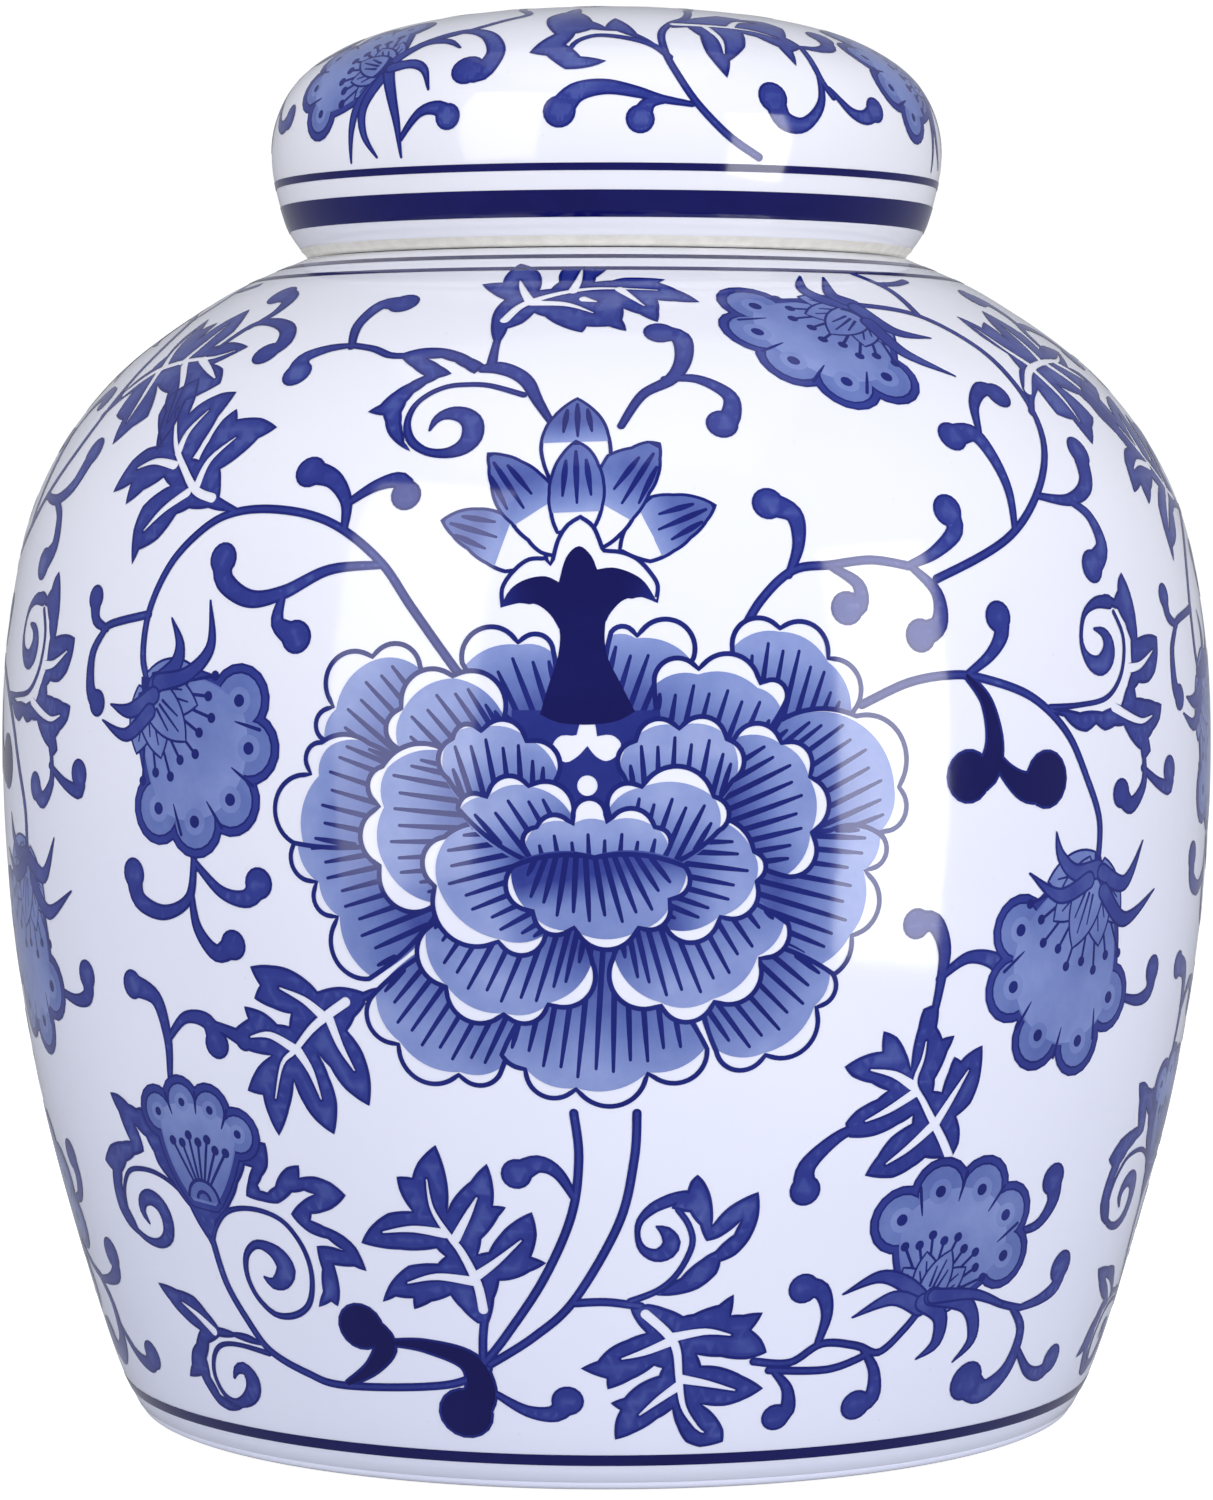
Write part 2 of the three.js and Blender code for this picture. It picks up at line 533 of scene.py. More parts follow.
def peony(canvas):
    """The big flower, petal by petal from the back to the front."""
    # Where the petal springs from, the points between its scallops, and its margin
    for base, edge, margin in (
        ((-5, 116), [(-12.5, 127.7, 0.43), (-7.5, 131.3, 0.34), (-4.3, 129.8)], 0.8),
        ((0.5, 116), [(0.2, 132.6, 0.3), (2.6, 132.3, 0.45), (7.6, 128.6)], 0.8),
        ((-14, 112), [(-25.2, 116.3), (-24.1, 121.3, 0.44), (-20.4, 129), (-15.8, 127.4)], 1.0),
        ((-9, 110), [(-18.1, 115), (-17.8, 121.3, 0.34), (-13.1, 126.3), (-8.4, 120)], 0.8),
        ((14, 112), [(10.5, 130.7), (15, 133.3), (19.4, 128.7), (21.6, 120.4)], 0.9),
        ((7, 108), [(3.8, 125.7), (7.8, 127.4), (13.2, 125.2, 0.42), (15.4, 121.6, 0.3)], 1.2),
        ((12, 104), [(14.6, 119.6, 0.12), (21.7, 120.2), (25.9, 109.2), (24.4, 102.3)], 1.2),
        ((11, 98), [(19.2, 103.4, 0.14), (24.3, 102.2), (22.8, 96.8), (21.7, 87), (16.6, 81.6)], 0.7),
        ((8, 88), [(20, 81.9, 0.3), (18.7, 76.4), (14.1, 69.2), (9.4, 70.2)], 0.8),
        ((-8, 90), [(-20.8, 78.6), (-18.7, 70.7), (-13.1, 66.2, 0.3), (-9, 67.4)], 0.9),
        ((-0.5, 88), [(-9.4, 69.8, 0.14), (-7.3, 67.4), (-2.7, 64.3), (3.7, 66.7), (9, 70.8)], 0.6),
        ((-12, 98), [(-20.9, 80.4), (-23.9, 89.7), (-25.8, 94.8), (-27.8, 101)], 0.8),
        ((-12, 105), [(-27.8, 100.4, 0.43), (-26.2, 111.3), (-25, 116.2, 0.16), (-20.4, 116.2)], 1.8),
        ((-7, 104), [(-13.6, 115.4, 0.2), (-19.4, 112.8), (-19.8, 106.6), (-19.8, 97.6),
                     (-14.8, 91.6)], 1.2),
        ((8, 104), [(10.7, 117.2, 0.34), (15, 116.4), (17.6, 111.2), (17.8, 102.7), (15.4, 96)], 0.6),
        ((-5, 96), [(-15.8, 88.6, 0.3), (-14.1, 79.7), (-8.9, 75.6, 0.3), (-4.9, 77.2), (-1, 84)], 0.6),
        ((5, 96), [(15.8, 89.6, 0.3), (13.4, 84), (9.4, 77.5), (4.6, 77), (0.3, 84.4)], 0.9),
        ((-3.6, 99), [(-8.8, 104.2, 0.14), (-13.9, 102.6), (-14.9, 94.8), (-9.3, 86.5), (-5, 87.6)], 0.9),
        ((3.8, 98), [(8.6, 105.6, 0.2), (12.7, 100.4), (13, 95.6), (9.8, 90.2), (5, 88.4)], 0.6),
    ):
        petal(canvas, base, edge, margin)
    heart = [[(-8, 121), (-8, 100)], [(-8, 100), (6, 100)], [(6, 100), (4.5, 121)], [(4.5, 121), (-8, 121)]]
    crown = [
        [(-2.5, 117.4), (-2.2, 119.2), (-1.6, 121), (-1, 119.2), (-0.8, 117.4)],
        [(-0.8, 117.2), (0.4, 117.4), (1.2, 116.2), (0.9, 114.5), (0, 113.6), (-0.9, 114.3), (-1.6, 115.8)],
        [(-1.6, 115.8), (-2.4, 114.3), (-3.4, 113.4), (-4.3, 114.4), (-4.5, 116), (-3.8, 117.3),
         (-2.5, 117.2)],
    ]
    patch(canvas, heart, LEAF + 0.1)
    patch(canvas, crown, None)
    canvas.dot(-1.6, 110, 1.5, None)
    for base, edge, margin, tone in (
        ((-8.4, 103), [(-13.6, 110.6, 0.3), (-13.2, 117), (-10.6, 118.3), (-6.6, 116.8),
                       (-4, 110.8)], 0.0, WASH),
        ((5.6, 103), [(1.2, 111.4, 0.3), (2.3, 116.8), (6.1, 118.7), (10.3, 117),
                      (10.8, 110.4)], 0.0, WASH),
        ((-4, 97), [(-12.8, 106.4, 0.3), (-10.2, 108.6), (-6.5, 110.3), (-2.6, 105.2)], 0.5, WASH),
        ((3.4, 97), [(-0.1, 106.4), (2.9, 110.2), (9.2, 108.6, 0.36), (9.6, 103)], 0.5, WASH),
        ((-0.9, 90), [(-7, 100.4, 0.3), (-6, 104.2, 0.3), (-2.9, 104.7, 0.7), (0.1, 105), (4.2, 104.2, 0.3),
                      (5.4, 100.4)], 0.4, WASH),
        ((-1, 99.8), [(-8, 98.4, 0.34), (-6.4, 91.2), (-2.8, 88.7), (2.8, 88.7), (5.5, 93),
                      (6.7, 98.4)], 0.0, WASH + 0.07),
    ):
        petal(canvas, base, edge, margin, tone)


def lotus_petal(canvas, left, tip, right, wash):
    """A pointed petal, given by the points up its left side and down its right, washed and hatched from its
    tip to the wash point."""
    spot = Spot(canvas, *tip)
    points = plan(canvas, tip, [*left, tip, *right])
    way = turning(points)
    outline = arcs([(x, y, way * 0.05) for x, y in points], 0.7)
    end = plan(canvas, tip, [wash])[0]
    down = end / np.hypot(*end)
    side = np.array((-down[1], down[0]))
    spot.fill(outline, LINE)
    spot.fill(grow(outline, -0.6), None)
    washed = clipped(grow(outline, -0.5), end, down)
    spot.fill(washed, (end * 0.6, end, WASH_DEEP + 0.05, WASH - 0.04))
    spot.fill(clipped(outline, 0.08 * end, down), LINE)
    for k in (-1, 0, 1):
        start = (0.17 + 0.13 * abs(k)) * end + 1.5 * k * side
        finish = (0.88 - 0.1 * abs(k)) * end + 2.1 * k * side
        spot.stroke([(*start, 0.5), (*(0.6 * start + 0.4 * finish), 0.95), (*finish, 0.4)], LINE)


def lotus(canvas):
    """The opened bud above the peony, on a thick navy stem."""
    for left, tip, right, wash in (
        ([(-5, 154.5), (-6.3, 160.4), (-6, 164.1), (-5.2, 166.5)], (-2.9, 170),
         [(-0.5, 166.5), (0.3, 163.3), (0.5, 158)], (-2.7, 161.8)),
        ([(-5, 143), (-8.8, 141.1), (-10.5, 142.4), (-12.3, 144.6), (-13.8, 146.7)], (-14.9, 149.1),
         [(-13.3, 150.7), (-11.5, 151.1), (-9.8, 150.7), (-6, 147)], (-9, 146.2)),
        ([(1.5, 148), (4, 153), (6, 153.3), (8, 153)], (9.9, 151.5),
         [(9, 148.9), (7.5, 146.3), (6, 144.3), (3.8, 142.6), (1, 144.5)], (3.9, 147.2)),
        ([(-4.5, 143.5), (-5.8, 144), (-7, 145.9), (-8.5, 148.5), (-9.9, 151.1), (-10.6, 154.6),
          (-11, 157.6)],
         (-11.2, 160), [(-9.5, 159.8), (-7.8, 158.7), (-6, 156.7), (-3, 150)], (-6.9, 149.8)),
        ([(-2, 150), (0, 159.6), (2.3, 161), (3.8, 162)], (5.1, 161.7),
         [(5.1, 158.9), (4.8, 155.9), (4, 153.3), (2.5, 149.3), (1.3, 146.7), (-0.5, 144.5)], (0.9, 150.4)),
        ([(-4.4, 147), (-5.1, 150.2), (-5.3, 153.3), (-5.1, 156.3), (-4.3, 159.6)], (-2.9, 162.2),
         [(-1.5, 160.7), (-0.6, 158), (-0.1, 155), (-0.2, 151.5), (-0.9, 148)], (-2.6, 150.4)),
    ):
        lotus_petal(canvas, left, tip, right, wash)
    left_wing, right_wing = (-9.1, 136), (4.4, 136.7)
    left_neck = [(-4, 132.8), (-4.8, 135), (-6, 136.5), (-7.5, 136.7), left_wing]
    right_neck = [right_wing, (3, 137.6), (1.5, 137.2), (0.4, 135.4), (-0.1, 133.7)]
    bracket = [
        [left_wing, (-9.2, 138.9), (-8.3, 141.5), (-6.8, 143.5), (-4.9, 143.6)],
        [(-4.9, 142.8), (-4.4, 146.3), (-3.5, 148.7), (-2.3, 150)],
        [(-2.3, 150), (-1, 148.3), (-0.1, 144.6)],
        [(-0.1, 144.8), (1.3, 144.6), (2.8, 143.5), (4, 141.3), (4.6, 139.3), right_wing],
        right_neck,
        left_neck,
    ]
    stem = [
        [left_wing, (-8.3, 138.7), (-7, 140.2), (-5.3, 140.7), (-4.1, 139.8)],
        [(-4.1, 139.8), (-3.5, 143.5), (-2.4, 145.2), (-1.3, 143.7), (-0.8, 141.5)],
        [(-0.8, 141.7), (0.5, 142), (2, 141.3), (3.3, 139.8), right_wing],
        [*right_neck, (0, 129.3), (1.3, 124.6), (2.4, 120.8)],
        [(2.4, 120.8), (0.8, 119.4), (-1.5, 118.9), (-4, 119.2), (-5.6, 120.4)],
        [(-5.6, 120.4), (-4.9, 124.6), (-4.1, 128.9), *left_neck],
    ]
    patch(canvas, bracket, LINE)
    patch(canvas, bracket, None, -0.65)
    patch(canvas, stem, NAVY)
    patch(
        canvas,
        [[left_wing, (-8.3, 138.7), (-6.6, 140.5)],
         [(-5.8, 138.6), (-6.3, 136.6), (-7.5, 136.7), left_wing]],
        ((0.6, 1.0), (4.8, 2.6), RIM, NAVY),
    )
    patch(
        canvas,
        [[(2, 141.3), (3.3, 139.8), right_wing], [right_wing, (3, 137.6), (1.9, 137.4), (1.5, 139.4)]],
        ((3.6, -3.8), (0.0, -1.8), RIM, NAVY),
    )


def carnation(canvas, calyx, lobes, radius=4.4, waist=2.0, arched=False):
    """A fan of round petals with stamens in front of it, and pointed sepals or an arch at its foot. The
    calyx and the lobes' centres are chart points."""
    reach = plan(canvas, calyx, lobes)
    axis = reach.mean(axis=0)
    spot = Spot(canvas, *calyx, turn=math.degrees(math.atan2(axis[1], axis[0])) - 90)
    turn = spot.turn
    right = reach[:, 0] * math.cos(turn) + reach[:, 1] * math.sin(turn)
    up = reach[:, 1] * math.cos(turn) - reach[:, 0] * math.sin(turn)
    ring = np.stack((right, up), axis=1)[np.argsort(-right)]
    depth = ring[:, 1].mean()
    body = arcs([(-waist, -0.5), (waist, -0.5, 0.06), *[(x, y, 0.1) for x, y in ring]])
    for tone, grown in ((RIM, 1.25), (LEAF + 0.03, 0.9), (LINE, 0.0), (WASH_DEEP, -0.35)):
        spot.fill(grow(body, max(grown, 0.0)), tone)
        for x, y in ring:
            spot.dot(x, y, radius + grown, tone)
    spot.fill(grow(body, -0.3), ((0, 0), (0, depth), WASH_DEEP + 0.03, WASH_DEEP - 0.1))
    for x, y in ring:
        spot.dot(x, y, 0.47 * radius, WASH + 0.06)
        spot.dot(x, y, 0.22 * radius, LINE)
    for low, high in zip(ring, ring[1:]):
        notch = (low + high) / 2
        way = notch / np.hypot(*notch)
        outer = notch + 0.7 * radius * way
        inner = notch - 0.4 * radius * way
        spot.stroke([(*outer, 0.6), (*notch, 0.5), (*inner, 0.2)], LINE)
    stamens, fan = (7, 11) if arched else (9, 13)
    for k in range(stamens):
        angle = math.radians(90 + (k - stamens // 2) * fan)
        way = np.array((math.cos(angle), math.sin(angle)))
        head = (0.75 - 0.07 * (k % 2)) * depth * way
        spot.stroke([(*(0.25 * head), 0.5), (*head, 0.55)], LINE)
        spot.dot(*head, 0.8, LINE)
    if arched:
        for size, tone in ((3.6, LINE), (3.0, WASH_DEEP + 0.06), (1.7, LINE), (1.1, LEAF - 0.04)):
            spot.fill(arcs([(-size, 0), (size, 0, 0.5)]), tone)
        return
    for k in (0, 4, 1, 3, 2):
        angle = math.radians(90 + (k - 2) * 31)
        way = np.array((math.cos(angle), math.sin(angle)))
        side = np.array((-way[1], way[0]))
        wide, top = 0.27 * depth, (0.62 - 0.03 * abs(k - 2)) * depth * way
        sepal = arcs([(*(-0.5 * wide * side), 0.18), (*top, 0.18), (*(0.5 * wide * side), 0)])
        spot.fill(sepal, LINE)
        spot.fill(grow(sepal, -0.4), WASH_DEEP - 0.02)
        for lean in (-0.3, 0, 0.3):
            root = 0.3 * top + 0.6 * lean * wide * side
            end = (0.8 - 0.5 * abs(lean)) * top + lean * wide * side
            spot.stroke([(*root, 0.55), (*end, 0.3)], LINE)
    spot.fill(arcs([(-1.2 * waist, 2.2, 0.1), (0, -2.6, 0.1), (1.2 * waist, 2.2, -0.2)]), RIM)


def bud(canvas, points, head, stem=1.25, tone=LEAF):
    """A stalk along chart points that swells into a round bud centred on the last of them."""
    last = len(points) - 1
    path = []
    for i, (u, v) in enumerate(points):
        share = i / last
        path.append((u, v, stem + (0.84 * head - stem) * share**1.2))
    canvas.brush([path], [(*points[-1], 0.52 * head)], tone)


def acanthus(canvas, strokes, body, veins=()):
    """Lines that wind in and swell, with (u, v, width) points, and the flame-edged leaf outside them."""
    canvas.brush(strokes)
    leaf(canvas, body, veins)


def jar_vines(canvas):
    for points in (
        [(-12.7, 126.5), (-17, 136), (-20, 142.5), (-24, 147.5), (-28, 150), (-33, 150.8), (-37, 149.8),
         (-40, 147), (-43, 142), (-45, 135), (-45.3, 128), (-44.4, 124)],
        [(-36, 150.3), (-38.8, 152.2), (-40.5, 153.5)],
        [(-45, 134.3), (-50, 132.8), (-51.7, 131.7)],
        [(22.2, 121.5), (26.7, 124.6), (31, 125.6), (34.4, 125), (40, 122), (44.4, 116.4), (47.2, 109.2),
         (49.2, 102.5), (49.2, 96)],
        [(11.1, 130.7), (13.3, 136.9), (16.4, 141.5), (20, 142.3), (23.9, 143), (27.8, 142)],
        [(30.3, 140), (38.9, 146), (44.4, 153.3), (48.3, 161.5), (49.7, 169.7), (49.2, 178.9),
         (47.2, 185), (43.9, 189.7), (40, 191.7), (34, 192.8)],
        [(43.6, 190), (43.9, 197.4), (40.6, 203)],
        [(43.3, 199.4), (47, 199.8), (50.6, 201)],
        [(49.2, 167.6), (51.2, 171), (54.2, 173.8)],
        [(-22.6, 178.8), (-24.5, 179), (-27, 180.6), (-30, 181.5)],
        [(-2.9, 61), (-2.5, 53.8), (-3.3, 44.6), (-6.1, 34.3), (-10, 25), (-12.6, 20)],
        [(2.7, 61), (2.5, 53.8), (1.1, 43.5), (-3.1, 31.2), (-7.2, 25), (-11.8, 20.2)],
        [(-3.1, 30.7), (0, 30.9), (3.3, 30.2)],
        [(-12.5, 20.5), (-12.3, 25), (-11.8, 29.5)],
        [(-12, 19.5), (-16.7, 16.4), (-28.3, 15), (-32.8, 16.4), (-37.2, 19.4), (-39.5, 24), (-41.5, 30),
         (-42.2, 37)],
        [(-14.6, 78.8), (-20, 78.9), (-22.5, 77)],
        [(15, 20.5), (18.9, 20), (22.2, 22.8), (26.1, 22), (28.9, 20.5), (31.6, 24), (33.6, 28)],
        [(16.7, 18.9), (23.3, 18.4), (27.8, 20.5)],
        [(40, 28.7), (44.4, 26), (47.8, 24.6)],
        [(-38.7, 102), (-38.6, 96)],
        [(56.7, 114), (56.7, 110)],
    ):
        vine(canvas, points)


def jar_buds(canvas):
    for head, points in (
        (5.0, [(-20, 142.3), (-25, 141.5), (-29.5, 138), (-33, 137), (-36, 139.6), (-36.5, 143)]),
        (5.0, [(-29.5, 137.5), (-29.8, 133.5), (-27.8, 131.4)]),
        (5.0, [(-24, 147.5), (-24.2, 152), (-26, 155.6), (-28.6, 156.8)]),
        (4.6, [(-24.2, 151.5), (-21.5, 154.5), (-19.2, 155.4), (-18.4, 153)]),
        (4.0, [(-51, 131.9), (-53, 133.2), (-53.5, 136.6)]),
        (4.2, [(-51.2, 131.9), (-53, 128), (-53, 122.5), (-51.8, 120.4)]),
        (5.0, [(-30, 181), (-31.4, 187), (-30.4, 192.4), (-27.2, 192.8)]),
        (5.0, [(-30, 181.5), (-33, 180.8), (-35.6, 178.6), (-35.2, 175.2)]),
        (5.0, [(-52, 182), (-50, 187.6), (-46.5, 188.4), (-42.4, 186.4), (-40.7, 182.6), (-42, 180)]),
        (5.2, [(-50, 187), (-48.3, 191.4), (-49, 195.4), (-52.2, 196.6)]),
        (4.8, [(1.4, 164.6), (3.6, 170.4), (6.7, 173.6), (8.3, 178), (8.4, 183), (6.1, 184.2)]),
        (4.8, [(6, 173.6), (9.4, 173.6), (12.4, 170.4), (12.2, 166.6), (11.2, 165)]),
        (4.8, [(16, 140.8), (17.1, 145.5), (16.9, 150), (14.6, 151.7)]),
        (5.0, [(27.8, 142), (30.2, 138), (30.2, 133.4), (28.2, 131.6)]),
        (5.0, [(20, 142), (22.4, 139.4), (22.4, 136.4), (21.2, 135.8)]),
        (5.0, [(27.4, 142), (30.4, 144), (33, 147.4), (32.6, 150.6)]),
        (4.8, [(32.6, 125.4), (35.4, 128.4), (36.9, 131.6), (36.7, 134.2)]),
        (5.0, [(40.2, 147.6), (40.6, 154), (39.9, 160), (38.6, 163.6), (35.8, 163)]),
        (4.8, [(39.6, 164), (40.8, 169), (43.4, 172.2), (45.4, 171)]),
        (5.2, [(44.2, 152.9), (48.9, 152.2), (52.6, 154.8), (53.9, 160.5)]),
        (5.2, [(48.6, 152.2), (51.4, 149.6), (52.4, 144.6), (50.2, 141.6)]),
        (4.8, [(-38.6, 98), (-39.4, 91.6), (-42.6, 89), (-45.9, 90.6), (-46.5, 94.6)]),
        (4.8, [(-38.5, 97), (-35.6, 92.8), (-32.8, 92), (-31.5, 94.4)]),
        (4.6, [(-39.1, 92), (-38.6, 87), (-36.6, 83.4), (-34.6, 84.8)]),
        (4.6, [(-44.2, 63), (-43.8, 69.2), (-44.8, 75.4), (-48, 77.2)]),
        (4.6, [(-43.5, 69.5), (-41.1, 72.9), (-38.4, 72.6), (-37.5, 69.2)]),
        (3.4, [(-39.6, 72.9), (-36.5, 71.6), (-34.2, 70.2)]),
        (4.6, [(-2.9, 47.6), (-4.4, 51.6), (-6.2, 53), (-8.2, 51.4)]),
        (4.8, [(-11.4, 15.3), (-8.3, 12.6), (-5.4, 12.2), (-4, 14.4)]),
        (4.8, [(21.6, 22.4), (22.3, 27.6), (21.4, 31.6), (19.5, 32.2)]),
        (5.0, [(27, 21.2), (28.7, 17.4), (29, 13), (27.2, 11.8)]),
        (4.4, [(17.4, 18.4), (18.9, 15.6), (19.2, 12), (18, 10.8)]),
        (5.4, [(47.4, 24.6), (51.1, 25.4), (53.6, 27.2), (53.7, 30.4)]),
        (6.6, [(46.4, 25), (48.9, 20.6), (48.2, 14.2), (44.8, 11), (41.8, 13.4)]),
        (5.0, [(49.2, 17.4), (52.4, 13), (55.6, 11.8), (57.3, 13.8)]),
        (5.2, [(44.6, 37.9), (47.6, 38.8), (49.2, 42.4), (48.5, 46)]),
        (4.8, [(24.5, 58.5), (21.4, 56.4), (18.6, 52), (18.6, 48.2)]),
        (4.6, [(30, 73), (30.6, 79.4), (30.8, 84.6), (29.6, 88.6), (27.8, 88.6)]),
        (4.8, [(30.4, 80), (33.4, 83), (36.6, 82), (37.8, 78.6)]),
        (4.8, [(54.6, 74.5), (58.4, 73.2), (61, 74.2), (61.3, 77.6)]),
        (4.6, [(56.7, 111.6), (56.6, 107.4), (54.4, 104.4), (52.6, 106.4)]),
        (4.6, [(56.4, 110), (59.6, 107.4), (62.2, 106.6), (62.2, 109.2)]),
    ):
        bud(canvas, points, head)
    for head, points in (
        (8.0, [(32.8, 125.4), (34.8, 121.4), (35.6, 115.4), (34.8, 111.2), (32.8, 110.4)]),
        (8.8, [(35, 115), (37, 110.8), (39.4, 108.4), (41.8, 109.4)]),
        (7.6, [(-27.8, 15.4), (-24.6, 18.6), (-22.9, 22.6), (-25.3, 25.3)]),
        (8.4, [(-22, 23), (-18.4, 22.8), (-14, 20.6), (-13, 15.6), (-14.8, 11.8)]),
    ):
        bud(canvas, points, head, 1.5, NAVY)


def jar_leaves(canvas):
    leaf(
        canvas,
        [(-36.8, 150.4), (-38.4, 152.5), (-38.8, 155.2), (-39.4, 157.3), (-37.5, 159.6), (-36, 162.6),
         (-34.2, 164.6), (-36.8, 166.4), (-39.9, 166.2), (-40.8, 168.2), (-42, 166.1), (-42.5, 162.2),
         (-42.8, 158.9), (-43.8, 159.2), (-43.3, 162.2), (-42.9, 166.8), (-42.3, 171.6), (-44.5, 171.4),
         (-46.8, 169.5), (-47.8, 167.5), (-48.5, 170.9), (-50.3, 174.8), (-53.5, 171.5), (-53.2, 167.2),
         (-49.6, 161.5), (-51.8, 161), (-53.5, 158.9), (-54.7, 153.4), (-52, 154.8), (-51.7, 151.4),
         (-49.5, 153.8), (-47, 155.9), (-45.6, 154.5), (-46.8, 153.6), (-48.8, 151.1), (-49.3, 147.4),
         (-48.5, 141.9), (-47.8, 144.2), (-45.3, 146), (-43.5, 149.9), (-42, 150.8), (-39.5, 150.9)],
        [[(-39.3, 152.5), (-41.8, 153.8), (-44.5, 157.5), (-47, 161.2), (-48.8, 164.9), (-50.3, 168.4)],
         [(-41.8, 154.6), (-41.3, 158.9), (-39, 162.8)], [(-46.3, 160.3), (-46.3, 164), (-44.9, 168)],
         [(-46, 158), (-49.3, 158.7), (-51.9, 157.5)], [(-42.8, 153.4), (-45.5, 150.6), (-47.7, 147.2)]],
    )
    leaf(
        canvas,
        [(-12.8, 182), (-13.9, 187.2), (-14, 190.8), (-13.3, 193.4), (-15.5, 195.5), (-17.5, 198.2),
         (-14.6, 198.7), (-14.6, 201.9), (-13.5, 205.6), (-11.5, 204.2), (-9.8, 201.9), (-9, 198.7),
         (-9, 196.2), (-7.5, 196.6), (-6.6, 198.7), (-6.8, 201.9), (-6.3, 203.8), (0.2, 203.4),
         (-1.5, 200.1), (-1.6, 198.7), (0.8, 199.2), (2.5, 200.1), (8.3, 199.6), (7.3, 198.5), (9.5, 196.4),
         (12, 192.7), (8.8, 192.9), (6.6, 193.2), (6.5, 189.9), (6.1, 187), (4, 189.2), (2.1, 190.8),
         (1.9, 187.6), (2.3, 184.6), (0.3, 185.8), (-2.3, 185.8), (-2.8, 184.2), (-5.5, 186), (-7.5, 188.5),
         (-8.9, 189.5), (-10, 186.7), (-11.6, 185.3), (-12, 182)],
        [[(-12.3, 187.6), (-11, 191.3), (-9, 193.4), (-6, 195.3), (-2.5, 196.5), (1.3, 196.7),
          (6.9, 196.2)],
         [(-9.6, 192.4), (-6, 192.2), (-3.8, 191.3), (-1.6, 189.5)],
         [(-10, 193.2), (-11.3, 196.4), (-12.2, 199.2)], [(-4.5, 195.9), (-3.9, 199.2), (-3.6, 203)],
         [(1.8, 196.4), (3, 194.5), (4.8, 191.5)], [(-2.9, 193.5), (-1.2, 192.7)]],
    )
    leaf(
        canvas,
        [(50, 170.5), (53.4, 172.6), (53.8, 167.4), (56.4, 166.4), (57.6, 161.8), (59.8, 165), (61.8, 167),
         (60.4, 171), (58.6, 173.6), (62.6, 171.6), (64.8, 167.6), (67, 160.4), (67.9, 165), (67.2, 170),
         (69, 171.2), (71.2, 173.4), (69.8, 176.6), (67.2, 177.8), (70.8, 181.8), (66.6, 183.2),
         (63.6, 182), (64.4, 186), (61.2, 192.6), (58.8, 189.4), (57.4, 184.4), (56.9, 189), (54.4, 187.2),
         (51.7, 190.4), (51.8, 185), (53.6, 180.4), (53.2, 177), (51, 173.8)],
        [[(51.2, 172), (55, 176.6), (60.8, 178.8), (66, 179.4), (69, 181)],
         [(56.4, 177.4), (54, 182), (52.6, 187.4)], [(60, 178.6), (60.6, 183), (60.8, 188.4)],
         [(56, 176.6), (57.4, 171), (57.8, 166)], [(61, 178), (64.4, 173), (66.4, 166)],
         [(64, 179), (67.4, 176.4), (69.6, 174.6)]],
    )
    leaf(
        canvas,
        [(-21.6, 78.8), (-23.8, 79.4), (-26, 78.5), (-27, 80.1), (-28.8, 81.7), (-30.5, 82.1),
         (-32.9, 81.7), (-32, 78.9), (-32.7, 76.8), (-30.8, 75.5), (-28.9, 74.8), (-29.2, 72.9),
         (-30.4, 73.1), (-31.8, 74.8), (-33.9, 75.5), (-33.6, 73.6), (-35.8, 71), (-34.8, 69),
         (-31.4, 68.1), (-33, 66.2), (-34.5, 62.3), (-32.8, 61.8), (-32.4, 58.6), (-31.5, 55.5), (-30, 60),
         (-29.2, 64.4), (-28.4, 60.9), (-27.3, 58.4), (-25.5, 56.4), (-24.9, 61.4), (-25.5, 65.5),
         (-26.5, 69.2), (-25.3, 66.9), (-24, 63.7), (-21.7, 61.2), (-21.4, 65.5), (-22, 69.7),
         (-23.3, 72.7), (-22.5, 74.8), (-21.4, 77)],
        [[(-23.3, 77.1), (-25.3, 74.8), (-27, 72.5), (-28.8, 69.2), (-30.3, 66.9), (-31.4, 61.4)],
         [(-25.8, 75), (-27.5, 77.1), (-29.9, 78.7)], [(-25, 74.3), (-24.1, 70.2), (-22.9, 66.6)],
         [(-28.8, 69.4), (-31.3, 71.3), (-33.5, 70.8)], [(-28.4, 69), (-27.3, 66), (-26.5, 61.8)]],
    )
